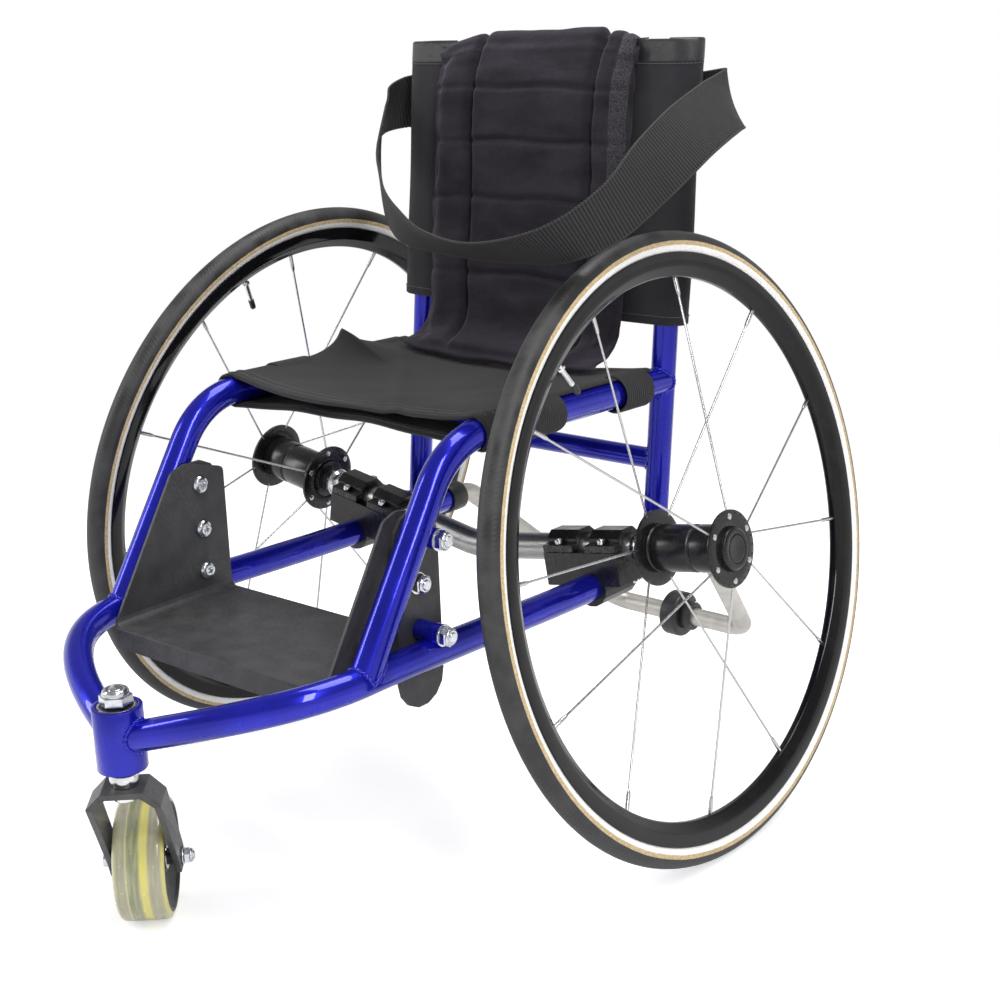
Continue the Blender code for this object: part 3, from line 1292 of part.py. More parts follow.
def build_seat():
    seat = cloth("seat_sling", SEAT_COLUMNS, SEAT_ROWS, seat_place, SLING_THICKNESS, NYLON)
    inner = (TUBE_RADIUS + CLOTH_GAP) / math.cos(math.pi / SMALL_STEPS)
    outer = TUBE_RADIUS + CLOTH_GAP + SLING_THICKNESS + WEBBING_THICKNESS
    for band, (front, length) in enumerate(WEBBING_BANDS):
        for label, side in SIDES.items():
            y = ahead(front)
            tilt = math.atan2(rail_height(y) - rail_height(y + length), length)
            place = empty(
                f"band_line_{label}_{band + 1}", (side * FRAME_HALF_WIDTH, y, rail_height(y)),
                (-math.pi / 2 - tilt, 0, 0))
            ring = turned(f"band_{label}_{band + 1}", [
                (inner, length), (outer, length), (outer, 0), (inner, 0),
            ], None, SMALL_STEPS, place, closed=True)
            join(seat, ring)
    cloth("under_seat_strap", UNDER_STRAP_COLUMNS, 2, under_strap_place, UNDER_STRAP_THICKNESS, NYLON)


def back_section():
    """Half of the back sling's section as (x, depth): hem behind the post, round it, to the middle."""
    centre = FRAME_HALF_WIDTH
    rear = [(BACK_HEM_HALF_WIDTH, BACK_SLEEVE_DEPTH)]
    turn = [math.radians(90 - 180 * i / 8) for i in range(9)]
    sleeve = [
        (centre + BACK_SLEEVE_REACH * math.cos(a), BACK_SLEEVE_DEPTH * math.sin(a)) for a in turn
    ]
    front = [(x, -BACK_SLEEVE_DEPTH) for x in (0.110, 0.055, 0.0)]
    return rear + sleeve + front


def back_place(u, v):
    half = back_section()
    section = half + [(-x, depth) for x, depth in reversed(half[:-1])]
    index = round(u * (len(section) - 1))
    x, depth = section[index]
    height = BACK_BOTTOM + v * (BACK_TOP - BACK_BOTTOM)
    axis = post_axis(1, height)
    return Vector((x, axis.y + depth, height))


def cushion_line():
    """Middle of the cushion from behind the sling, over its top and down it: (offset, height, thickness)."""
    sling_front = -BACK_SLEEVE_DEPTH - SLING_THICKNESS / 2 - CLOTH_GAP
    sling_rear = -BACK_SLEEVE_DEPTH + SLING_THICKNESS / 2 + CLOTH_GAP
    hook = sling_rear + CUSHION_HOOK_THICKNESS / 2 + CUSHION_GAP
    thin_front = sling_front - CUSHION_HOOK_THICKNESS / 2 - CUSHION_GAP
    reach = (hook - thin_front) / 2
    crown = CUSHION_TOP - CUSHION_HOOK_THICKNESS / 2 - reach
    line = [(hook, CUSHION_HOOK_BOTTOM, CUSHION_HOOK_THICKNESS)]
    for offset, height in arc((thin_front + reach, crown), reach, 0, math.pi, 4):
        line.append((offset, height, CUSHION_HOOK_THICKNESS))
    start = crown - 0.004
    for i in range(CUSHION_STEPS + 1):
        height = start + (CUSHION_BEND_HEIGHT - start) * i / CUSHION_STEPS
        thickness = CUSHION_HOOK_THICKNESS + (CUSHION_THICKNESS - CUSHION_HOOK_THICKNESS) * smoothstep(i / 3)
        line.append((sling_front - thickness / 2 - CUSHION_GAP, height, thickness))
    return line


def build_back():
    count = 2 * len(back_section()) - 1
    cloth("back_sling", count - 1, BACK_ROWS, back_place, SLING_THICKNESS, NYLON)

    line = cushion_line()
    seat_y = post_axis(1, CUSHION_BEND_HEIGHT).y + line[-1][0]
    toe_y = seat_y - CUSHION_TOE_REACH
    rest = max(seat_height(side * CUSHION_HALF_WIDTH, toe_y) for side in (-1, 1))
    toe_height = rest + SLING_THICKNESS / 2 + CLOTH_GAP
    places = []
    for offset, height, thickness in line:
        places.append((post_axis(1, height).y + offset, height, thickness))
    upper, lower = CUSHION_BEND_HANDLES
    bend = bezier((
        (0, seat_y, CUSHION_BEND_HEIGHT), (0, seat_y - upper[0], CUSHION_BEND_HEIGHT - upper[1]),
        (0, toe_y + lower[0], toe_height + lower[1]), (0, toe_y, toe_height + CUSHION_TOE_LIFT),
    ), CUSHION_TOE_STEPS)
    thinning = (CUSHION_THICKNESS - CUSHION_TOE_THICKNESS) / CUSHION_TOE_STEPS
    for i, point in enumerate(bend[1:]):
        places.append((point.y, point.z, CUSHION_THICKNESS - thinning * (i + 1)))
    rings = []
    for i, (y, z, thickness) in enumerate(places):
        before = places[max(i - 1, 0)]
        after = places[min(i + 1, len(places) - 1)]
        along = Vector((0, after[0] - before[0], after[1] - before[1])).normalized()
        outward = Vector((0, along.z, -along.y))
        seam = sum(
            math.exp(-(((z - height) / CUSHION_SEAM_WIDTH) ** 2)) for height in CUSHION_SEAMS
        ) if i > 3 else 0.0
        rings.append(cushion_ring(Vector((0, y, z)), outward, thickness, min(seam, 1.0)))
    add_object("back_cushion", loft_mesh("back_cushion", rings), VELVET)


def cushion_ring(centre, outward, thickness, seam):
    """Section across the cushion: crowned front with two lengthwise folds, plain back."""
    xs = [-1.0, -0.9, -0.72, -0.66, -0.60, -0.4, 0.0, 0.4, 0.60, 0.66, 0.72, 0.9, 1.0]
    front = []
    drawn_in = 1 - 0.02 * seam
    for share in xs:
        x = share * CUSHION_HALF_WIDTH * drawn_in
        edge = smoothstep((CUSHION_HALF_WIDTH * drawn_in - abs(x)) / CUSHION_EDGE_ROUND)
        fold = math.exp(-(((abs(x) - CUSHION_FOLD) / CUSHION_FOLD_WIDTH) ** 2))
        sunk = CUSHION_FOLD_DEPTH * fold + CUSHION_SEAM_DEPTH * seam * edge
        depth = thickness * (CUSHION_EDGE_SHARE + CUSHION_CROWN_SHARE * edge - sunk / CUSHION_THICKNESS)
        front.append(centre + Vector((x, 0, 0)) + outward * depth)
    back = []
    for share in (0.8, 0.3, -0.3, -0.8):
        x = share * CUSHION_HALF_WIDTH * drawn_in
        edge = smoothstep((CUSHION_HALF_WIDTH * drawn_in - abs(x)) / CUSHION_EDGE_ROUND)
        depth = thickness * (CUSHION_EDGE_SHARE + CUSHION_CROWN_SHARE * edge)
        back.append(centre + Vector((x, 0, 0)) - outward * depth)
    return front + back


def strap_end(side):
    """Where the strap lies flat on the back of the sling, behind a post."""
    depth = BACK_SLEEVE_DEPTH + SLING_THICKNESS / 2 + CLOTH_GAP + STRAP_THICKNESS / 2
    y = post_axis(side, STRAP_END_HEIGHT).y + depth
    return Vector((side * BACK_HEM_HALF_WIDTH, y, STRAP_END_HEIGHT))


def strap_knots():
    """Route points with their swing: both ends lie on the sling and lean with it."""
    lean = math.degrees(POST_LEAN)
    knots = [(strap_end(-1), lean)]
    knots += [(Vector((x, behind(y), z)), swing) for x, y, z, swing in STRAP_ROUTE]
    return knots + [(strap_end(1), lean)]


def smooth_route(knots, stations):
    """Even stations along a smooth curve through the knots, each with its swing."""
    places = [Vector((*point, math.radians(swing))) for point, swing in knots]
    fine = []
    for i in range(len(places) - 1):
        before = places[max(i - 1, 0)]
        start, end = places[i], places[i + 1]
        after = places[min(i + 2, len(places) - 1)]
        for step in range(12):
            t = step / 12
            fine.append(0.5 * (
                2 * start + (end - before) * t + (2 * before - 5 * start + 4 * end - after) * t**2
                + (3 * start - before - 3 * end + after) * t**3
            ))
    fine.append(places[-1])
    runs = [0.0]
    for start, end in zip(fine, fine[1:]):
        runs.append(runs[-1] + (end.xyz - start.xyz).length)
    route = []
    for station in range(stations + 1):
        run = runs[-1] * station / stations
        i = max(j for j in range(len(runs)) if runs[j] <= run + 1e-9)
        i = min(i, len(fine) - 2)
        route.append(fine[i].lerp(fine[i + 1], (run - runs[i]) / (runs[i + 1] - runs[i])))
    return route


def build_chest_strap():
    route = smooth_route(strap_knots(), STRAP_STATIONS)
    rows = []
    for i, knot in enumerate(route):
        along = (route[min(i + 1, STRAP_STATIONS)].xyz - route[max(i - 1, 0)].xyz).normalized()
        down = Vector((0, 0, -1))
        down = (down - along * down.dot(along)).normalized()
        across = math.cos(knot.w) * down + math.sin(knot.w) * along.cross(down)
        rows.append((knot.xyz, across))

    def place(u, v):
        centre, across = rows[round(v * STRAP_STATIONS)]
        return centre + across * ((u - 0.5) * STRAP_WIDTH)

    cloth("chest_strap", 1, STRAP_STATIONS, place, STRAP_THICKNESS, WEBBING)


def main():
    build_frame()
    build_caster()
    build_footplate()
    build_camber_tube()
    for label, side in SIDES.items():
        build_clamp(label, side)
        build_wheel(label, side)
    build_anti_tip()
    build_seat()
    build_back()
    build_chest_strap()
    for obj in PARTS.objects:
        if obj.data:
            smooth(obj.data)


main()
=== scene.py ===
from math import atan, atan2, copysign, cos, degrees, pi, radians, sin, sqrt, tan, tau

import bmesh
import bpy
import numpy as np
from mathutils import Matrix, Vector


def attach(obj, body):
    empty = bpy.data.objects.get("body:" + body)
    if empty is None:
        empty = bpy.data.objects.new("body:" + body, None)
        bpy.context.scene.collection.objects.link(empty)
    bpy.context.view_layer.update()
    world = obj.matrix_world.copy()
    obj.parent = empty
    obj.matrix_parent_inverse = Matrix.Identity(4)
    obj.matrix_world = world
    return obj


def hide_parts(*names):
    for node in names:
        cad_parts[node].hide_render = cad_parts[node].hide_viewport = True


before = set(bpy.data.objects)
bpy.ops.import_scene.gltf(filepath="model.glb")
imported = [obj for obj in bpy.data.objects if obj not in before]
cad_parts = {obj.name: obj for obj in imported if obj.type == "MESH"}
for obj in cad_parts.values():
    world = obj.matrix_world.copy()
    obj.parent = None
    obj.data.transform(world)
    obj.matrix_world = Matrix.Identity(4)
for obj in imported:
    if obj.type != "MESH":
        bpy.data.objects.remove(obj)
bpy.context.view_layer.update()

SIDES = (("_left", 1), ("_right", -1))

# Sizes that the model shares with its frame, in metres
AXLE_Y = 0.0630665
CAMBER = radians(9.65)
HALF_TRACK = 0.2708
TYRE = 0.0124
TYRE_CENTRE = 0.305 - TYRE
WHEEL_HEIGHT = TYRE_CENTRE * cos(CAMBER) + TYRE
TUBE = 0.014
HALF_WIDTH = 0.1655
BARREL_Y = AXLE_Y - 0.489
BARREL_RADIUS = 0.0225
BARREL_TOP = 0.2417
BARREL_LOW = BARREL_TOP - 0.059
NOSE = Vector((0, BARREL_Y, 0.209))
BASE_REAR = 0.24696
POST_FOOT = AXLE_Y + 0.0836
POST_RADIUS = 0.0127
LEAN = atan(0.110)
POST_TOP = 0.765
CROSSBAR_HEIGHT = 0.352
CROSSBAR = 0.011
CASTER_YAW = radians(43)
TRAIL = 0.070
CASTER_HEIGHT = 0.0575
FORK_TOP = 0.166
BOLT_Y = AXLE_Y - 0.260
BOLT_HEIGHTS = (0.363, 0.317, 0.273)
ROLLER_Y = AXLE_Y + 0.372
ROLLER_HEIGHT = 0.064
SLING = 0.0026
SLEEVE_REACH = 0.0240
SLEEVE_DEPTH = 0.0150
BACK_LOW = 0.493
BACK_TOP = 0.772
RIB_PITCH = 0.0033
STRAP_WIDTH = 0.057
STRAP_THICKNESS = 0.0022
STRAP_END = (0.142, 0.710)
STRAP_ROUTE = (
    (-0.178, 0.154, 0.709, 6), (-0.212, 0.150, 0.706, -12), (-0.222, 0.125, 0.699, -20),
    (-0.206, 0.095, 0.682, -16), (-0.167, 0.050, 0.656, -3), (-0.124, 0.004, 0.636, 5),
    (-0.082, -0.035, 0.623, 8), (-0.032, -0.076, 0.613, 18), (0.025, -0.108, 0.607, 38),
    (0.086, -0.132, 0.600, 58), (0.151, -0.142, 0.598, 65), (0.217, -0.135, 0.608, 49),
    (0.258, -0.105, 0.634, 18), (0.273, -0.059, 0.670, -19), (0.276, -0.008, 0.697, -38),
    (0.266, 0.055, 0.713, -42), (0.241, 0.113, 0.715, -25), (0.215, 0.146, 0.715, -2),
    (0.180, 0.154, 0.711, 6),
)
# Thread of the seams
STITCH_PITCH = 0.0042
STITCH_LENGTH = 0.0030
THREAD = 0.00042


def ahead(distance):
    return AXLE_Y - distance


def post_y(height):
    """Where the leaning back posts' axis is at a height."""
    return POST_FOOT + (height - BASE_REAR) * tan(LEAN)


def smoothstep(value):
    value = np.clip(value, 0.0, 1.0)
    return value * value * (3 - 2 * value)


def hump(distance, width):
    return np.exp(-((distance / width) ** 2))


def unit(rows):
    return rows / np.linalg.norm(rows, axis=-1, keepdims=True)


def run_lengths(line):
    """Distance from the start of a line to each of its points."""
    return np.concatenate([[0], np.cumsum(np.linalg.norm(np.diff(line, axis=0), axis=1))])


def on_line(where, runs, rows):
    """The rows' values at distances along a line."""
    return np.stack([np.interp(where, runs, column) for column in rows.T], -1)


# Shapes: each is a pair of points and faces
def band(low, high, count):
    """Faces between two closed rows of points."""
    return [(low + j, low + (j + 1) % count, high + (j + 1) % count, high + j) for j in range(count)]


def sweep(points, radius, sides=32, closed=False):
    """A round tube along the points; radius is one number or one for each point."""
    line = np.array([tuple(p) for p in points], float)
    count = len(line)
    radii = np.broadcast_to(np.asarray(radius, float), (count,))
    along = unit(np.roll(line, -1, 0) - np.roll(line, 1, 0) if closed else np.gradient(line, axis=0))
    normal = np.array((0.0, 0.0, 1.0) if abs(along[0][2]) < 0.9 else (1.0, 0.0, 0.0))
    normals = []
    for way in along:
        normal = unit(normal - way * normal.dot(way))
        normals.append(normal)
    normals = np.array(normals)
    if closed:
        last = unit(normals[-1] - along[0] * normals[-1].dot(along[0]))
        twist = atan2(np.cross(last, normals[0]).dot(along[0]), last.dot(normals[0]))
        turns = (twist * np.arange(count) / count)[:, None]
        normals = np.cos(turns) * normals + np.sin(turns) * np.cross(along, normals)
    turn = (np.arange(sides) * tau / sides)[:, None]
    ring = np.cos(turn) * normals[:, None] + np.sin(turn) * np.cross(along, normals)[:, None]
    verts = (line[:, None] + ring * radii[:, None, None]).reshape(-1, 3)
    faces = []
    for i in range(count if closed else count - 1):
        faces += band(i * sides, (i + 1) % count * sides, sides)
    if not closed:
        faces.append(tuple(range(sides))[::-1])
        faces.append(tuple(range((count - 1) * sides, count * sides)))
    return verts, faces


def softened(profile, size, closed=False):
    """The profile with its sharp corners eased."""
    points = [Vector(p) for p in profile]
    count = len(points)
    eased = []
    for i, point in enumerate(points):
        before = points[i - 1] - point
        after = points[(i + 1) % count] - point
        at_end = not closed and i in (0, count - 1)
        if at_end or abs(pi - before.angle(after)) < radians(18):
            eased.append(point)
            continue
        reach = min(size, before.length * 0.4, after.length * 0.4)
        first = before.normalized() * reach
        last = after.normalized() * reach
        eased += [point + first, point + (first + last) * 0.29, point + last]
    return [tuple(p) for p in eased]


def turned(profile, steps=96, closed=False, ease=0.0004):
    """A turned shape about Z: (radius, height) pairs down its outer side."""
    profile = softened(profile, ease, closed) if ease else profile
    turns = [tau * i / steps for i in range(steps)]
    verts, faces, rows = [], [], []
    for radius, height in profile:
        here = turns if radius >= 1e-7 else turns[:1]
        rows.append(range(len(verts), len(verts) + len(here)))
        verts += [(radius * cos(turn), radius * sin(turn), height) for turn in here]
    for up, low in zip(rows, rows[1:] + (rows[:1] if closed else [])):
        for i in range(steps):
            j = (i + 1) % steps
            corners = (up[i % len(up)], low[i % len(low)], low[j % len(low)], up[j % len(up)])
            faces.append(tuple(dict.fromkeys(corners)))
    return np.array(verts), faces


def mm(base, *pairs):
    """Profile points in metres from (radius, height above the base) pairs in millimetres."""
    return [(radius / 1000, base + height / 1000) for radius, height in pairs]


def ring(base, inner, outer, top, low, steps=48, ease=0.0004):
    """A turned ring; its sizes but the base are in millimetres."""
    corners = mm(base, (inner, top), (outer, top), (outer, low), (inner, low))
    return turned(corners, steps, closed=True, ease=ease)


def mirrored(half):
    """A profile and its reflection in the middle plane."""
    return half + [(radius, -height) for radius, height in reversed(half)]


def moved(shape, matrix):
    verts, faces = shape
    m = np.array(matrix, float)
    return np.asarray(verts) @ m[:3, :3].T + m[:3, 3], faces


def merged(*shapes):
    verts, faces, start = [], [], 0
    for points, sides in shapes:
        verts.append(np.asarray(points, float))
        faces += [tuple(start + i for i in face) for face in sides]
        start += len(points)
    return np.concatenate(verts), faces


def facing(start, end):
    """Matrix that puts local Z along the line from start to end."""
    turn = Vector((0, 0, 1)).rotation_difference(Vector(end) - Vector(start))
    return Matrix.Translation(start) @ turn.to_matrix().to_4x4()


def rod(start, end, radius, sides=16):
    return sweep([Vector(start), (Vector(start) + Vector(end)) / 2, Vector(end)], radius, sides)


def nut(corner, low, high, bore=0.0):
    """A hexagonal nut with eased corners between two heights."""
    ease = 0.12 * corner
    outline = [(bore, high), (corner - ease * 1.6, high), (corner, high - ease), (corner, low + ease),
               (corner - ease * 1.6, low), (bore, low)]
    return turned(outline, 6, closed=bore > 0, ease=0)


def arc(centre, radius, start, end, steps):
    turns = [start + (end - start) * i / steps for i in range(steps + 1)]
    return [(centre[0] + radius * cos(turn), centre[1] + radius * sin(turn)) for turn in turns]


def bezier(knots, steps):
    a, b, c, d = (Vector(k) for k in knots)
    points = []
    for i in range(steps + 1):
        t = i / steps
        s = 1 - t
        points.append(s**3 * a + 3 * s * s * t * b + 3 * s * t * t * c + t**3 * d)
    return points


def rounded_path(corners, radii, steps=14):
    corners = [Vector(c) for c in corners]
    points = [corners[0]]
    for before, corner, after, radius in zip(corners, corners[1:], corners[2:], radii):
        back = (before - corner).normalized()
        on = (after - corner).normalized()
        half = back.angle(on) / 2
        start = corner + back * (radius / tan(half))
        middle = corner + (back + on).normalized() * (radius / sin(half))
        normal = back.cross(on).normalized()
        for i in range(steps + 1):
            spin = Matrix.Rotation(-(pi - 2 * half) * i / steps, 3, normal)
            points.append(middle + spin @ (start - middle))
    return points + [corners[-1]]


# Pieces
def linked(name, data, place=None):
    obj = bpy.data.objects.new(name, data)
    bpy.context.scene.collection.objects.link(obj)
    if place is not None:
        obj.matrix_world = place
    return obj


def faces_out(mesh):
    """Turn every face so that it looks out of its body."""
    work = bmesh.new()
    work.from_mesh(mesh)
    bmesh.ops.recalc_face_normals(work, faces=work.faces)
    work.to_mesh(mesh)
    work.free()


def piece(name, shape, look, body="frame", nodes=(), place=None, sharp=38, uv=None):
    verts, faces = shape
    look = look.material
    mesh = bpy.data.meshes.new(name)
    mesh.from_pydata([tuple(v) for v in verts], [], faces)
    faces_out(mesh)
    if uv is not None:
        layer = mesh.uv_layers.new(name="cloth")
        index = np.empty(len(mesh.loops), np.int32)
        mesh.loops.foreach_get("vertex_index", index)
        layer.data.foreach_set("uv", np.asarray(uv, np.float32)[index].ravel())
    mesh.shade_smooth()
    mesh.set_sharp_from_angle(angle=radians(sharp))
    mesh.materials.append(look)
    obj = linked(name, mesh, place)
    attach(obj, body)
    if nodes:
        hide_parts(*nodes)
    return obj


def cover(node, finish, label, shape, look, place=None, body="frame", sharp=38):
    """A piece in place of the node that it is named after."""
    piece(f"{node}_{finish}{label}", shape, look, body, (node + label,), place, sharp)


def dress(node, look, bevel=0.0006, sharp=32, segments=2):
    """A kept node gets eased edges and its material."""
    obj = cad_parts[node]
    obj.data.materials.clear()
    obj.data.materials.append(look.material)
    obj.modifiers.new("weld", "WELD").merge_threshold = 1e-5
    ease = obj.modifiers.new("ease", "BEVEL")
    ease.width = bevel
    ease.segments = segments
    ease.limit_method = "ANGLE"
    ease.angle_limit = radians(sharp)
    ease.use_clamp_overlap = True
    ease.harden_normals = False


# Materials
def tint(colour, factor):
    return tuple(min(c * factor, 1.0) for c in colour)


class Nodes:
    """Short calls for the nodes of a material or world."""

    def __init__(self, owner):
        owner.use_nodes = True
        self.tree = owner.node_tree

    def fill(self, socket, value):
        if isinstance(value, bpy.types.NodeSocket):
            self.tree.links.new(value, socket)
        elif value is not None:
            socket.default_value = value

    def node(self, kind, *inputs, named=(), **settings):
        node = self.tree.nodes.new("ShaderNode" + kind)
        for key, value in settings.items():
            setattr(node, key, value)
        for socket, value in zip(node.inputs, inputs):
            self.fill(socket, value)
        for key, value in dict(named).items():
            self.fill(node.inputs[key], value)
        return node

    def math(self, operation, *values, clamp=False):
        return self.node("Math", *values, operation=operation, use_clamp=clamp).outputs[0]

    def times(self, first, second):
        return self.math("MULTIPLY", first, second)

    def plus(self, first, second, clamp=False):
        return self.math("ADD", first, second, clamp=clamp)

    def larger(self, first, second):
        return self.math("MAXIMUM", first, second)

    def coords(self, kind="Object", scale=(1, 1, 1)):
        source = self.node("TexCoord").outputs[kind]
        if scale == (1, 1, 1):
            return source
        return self.node("Mapping", source, named={"Scale": scale}).outputs[0]

    def axes(self, kind="Object"):
        return self.node("SeparateXYZ", self.coords(kind)).outputs

    def noise(self, scale, detail=2.0, vector=None, roughness=0.5):
        numbers = {"Scale": scale, "Detail": detail, "Roughness": roughness}
        return self.node("TexNoise", self.coords() if vector is None else vector, named=numbers).outputs[0]

    def spread(self, value, low, high, to_low=0.0, to_high=1.0, smooth=False):
        kind = "SMOOTHSTEP" if smooth else "LINEAR"
        return self.node("MapRange", value, low, high, to_low, to_high, interpolation_type=kind).outputs[0]

    def ramp(self, value, stops):
        node = self.node("ValToRGB", value)
        elements = node.color_ramp.elements
        while len(elements) < len(stops):
            elements.new(0.5)
        for element, (place, colour) in zip(elements, stops):
            element.position = place
            element.color = (*colour, 1)
        return node.outputs[0]

    def mix(self, share, first, second):
        node = self.node("Mix", share, data_type="RGBA")
        for index, colour in ((6, first), (7, second)):
            self.fill(node.inputs[index], (*colour, 1) if isinstance(colour, tuple) else colour)
        return node.outputs[2]


class Look(Nodes):
    """A Principled material."""

    def __init__(self, name, slot, colour, roughness, metallic=0.0, **sockets):
        self.material = bpy.data.materials.new(name)
        self.material["slot"] = slot
        super().__init__(self.material)
        self.shader = self.tree.nodes["Principled BSDF"]
        self.colour = colour
        self.height = None
        self.set(Base_Color=(*colour, 1), Roughness=roughness, Metallic=metallic, **sockets)

    def set(self, **sockets):
        for key, value in sockets.items():
            self.fill(self.shader.inputs[key.replace("_", " ")], value)
        return self

    def bump(self, height, distance):
        named = {"Strength": 1.0, "Distance": distance, "Height": height, "Normal": self.height}
        self.height = self.node("Bump", named=named).outputs[0]
        return self.set(Normal=self.height)

    def grain(self, scale, distance, detail=2.0):
        return self.bump(self.noise(scale, detail), distance)

    def rough(self, scale, detail, low, high):
        return self.set(Roughness=self.spread(self.noise(scale, detail), 0.3, 0.7, low, high))

    def tones(self, scale, low, high):
        share = self.spread(self.noise(scale, 3.0), 0.35, 0.65)
        return self.mix(share, tint(self.colour, low), tint(self.colour, high))

    def mottled(self, scale, low, high):
        """Base colour that varies gently."""
        return self.set(Base_Color=self.tones(scale, low, high))

    def worn(self, bare, amount):
        """Edges rubbed towards a lighter grey, with broken patches."""
        edge = self.spread(self.node("NewGeometry").outputs["Pointiness"], 0.52, 0.60)
        patch = self.spread(self.noise(260, 4.0), 0.42, 0.62)
        share = self.times(self.times(edge, patch), amount)
        return self.set(Base_Color=self.mix(share, self.tones(45, 0.8, 1.25), (bare, bare, bare)))

    def wander(self, scale, detail, size):
        """A small uneven shift."""
        return self.times(self.math("SUBTRACT", self.noise(scale, detail), 0.5), size)

    def shaded(self, first, share, second, other_share):
        return self.plus(self.times(first, share), self.times(second, other_share), clamp=True)


blue = Look("blue_paint", "blue_paint", (0.009, 0.011, 0.420), 0.24, 0.60, Coat_Weight=0.65,
            Coat_Roughness=0.03, Specular_IOR_Level=0.10)
flakes = blue.spread(blue.noise(2600, 1.0), 0.3, 0.7)
cloud = blue.spread(blue.noise(14, 2.0), 0.3, 0.7)
blue.set(Base_Color=blue.mix(blue.times(flakes, cloud), tint(blue.colour, 0.75), (0.020, 0.024, 0.62)))
blue.rough(60, 3.0, 0.20, 0.30).grain(160, 0.000015)

anodised = Look("black_anodised", "black_anodised", (0.014, 0.014, 0.015), 0.26, 0.30, Anisotropic=0.45)
anodised.worn(0.10, 0.5).rough(90, 4.0, 0.20, 0.30).grain(1500, 0.00002)

satin = Look("black_powder_coat", "black_satin", (0.034, 0.034, 0.036), 0.5)
satin.worn(0.12, 0.2).rough(500, 3.0, 0.42, 0.58).grain(2100, 0.00006)

smooth_satin = Look("black_smooth_coat", "black_satin", (0.055, 0.055, 0.057), 0.40)
smooth_satin.worn(0.20, 0.4).rough(300, 3.0, 0.34, 0.46).grain(1800, 0.00002)

brushed = Look("brushed_grey", "brushed_grey", (0.40, 0.40, 0.39), 0.34, 1.0, Anisotropic=0.5)
streaks = brushed.noise(1.0, 3.0, brushed.coords(scale=(30, 2600, 2600)))
brushed.set(Base_Color=brushed.mix(brushed.spread(streaks, 0.3, 0.7), (0.30, 0.30, 0.30), (0.52, 0.52, 0.50)))
brushed.set(Roughness=brushed.spread(streaks, 0.3, 0.7, 0.26, 0.42)).bump(streaks, 0.00003)

blasted = Look("bead_blasted", "warm_grey", (0.55, 0.53, 0.49), 0.42, 0.85)
blasted.mottled(30, 0.88, 1.1).rough(200, 3.0, 0.36, 0.5).grain(2200, 0.00006)

zinc = Look("zinc_plate", "zinc", (0.66, 0.68, 0.71), 0.22, 1.0)
zinc.mottled(260, 0.90, 1.08).rough(500, 3.0, 0.15, 0.26).grain(900, 0.00002)

steel = Look("polished_steel", "bright_steel", (0.72, 0.72, 0.72), 0.18, 1.0)
steel.mottled(120, 0.85, 1.1).rough(400, 3.0, 0.13, 0.26)

wire = Look("drawn_steel", "black_anodised", (0.36, 0.36, 0.36), 0.24, 1.0).rough(700, 2.0, 0.18, 0.32)
wire.set(Base_Color=wire.mix(wire.noise(700, 2.0), (0.46, 0.46, 0.46), (0.66, 0.66, 0.65)))

gloss = Look("gloss_black_rim", "rim_black", (0.005, 0.005, 0.006), 0.12, 0.0, Specular_IOR_Level=0.28)
scuffs = gloss.spread(gloss.noise(25, 5.0, roughness=0.7), 0.52, 0.75)
gloss.set(Base_Color=gloss.mix(scuffs, gloss.colour, (0.014, 0.014, 0.015)))
gloss.set(Roughness=gloss.spread(scuffs, 0, 1, 0.09, 0.20)).grain(300, 0.00002)

plastic = Look("moulded_black", "hard_black", (0.016, 0.016, 0.017), 0.38)
plastic.mottled(70, 0.8, 1.5).rough(150, 3.0, 0.30, 0.46).grain(900, 0.00004)

thread = Look("thread", "nylon", (0.05, 0.05, 0.055), 0.6, Sheen_Weight=0.3)
thread.mottled(900, 0.6, 1.6).grain(2500, 0.0001)


def tyre_look():
    """Black tread, a tan band below it and a white line beside the rim."""
    look = Look("tyre", "rubber", (0.03, 0.03, 0.032), 0.6)
    x, y, z = look.axes()
    radius = look.math("SQRT", look.plus(look.times(x, x), look.times(y, y)))
    edge = look.plus(radius, look.wander(60, 3.0, 0.0009))
    black = look.spread(edge, 0.29440, 0.29490, smooth=True)
    tan_band = look.spread(edge, 0.29030, 0.29075, smooth=True)
    dust = look.spread(look.noise(35, 5.0), 0.4, 0.7)
    tread = look.mix(dust, (0.016, 0.016, 0.017), (0.048, 0.048, 0.050))
    fray = look.spread(look.noise(420, 4.0), 0.35, 0.65)
    gum = look.mix(fray, (0.46, 0.33, 0.16), (0.66, 0.52, 0.31))
    white = look.mix(fray, (0.86, 0.85, 0.82), (0.97, 0.96, 0.94))
    look.set(Base_Color=look.mix(black, look.mix(tan_band, white, gum), tread))
    look.set(Roughness=look.spread(dust, 0, 1, 0.48, 0.68))
    slant = look.times(look.math("ABSOLUTE", z), 900.0)
    file = look.math("SINE", look.plus(look.times(look.math("ARCTAN2", y, x), 420.0), slant))
    look.bump(look.times(look.times(file, black), 0.5), 0.00011)
    return look.grain(800, 0.00008, 3.0)


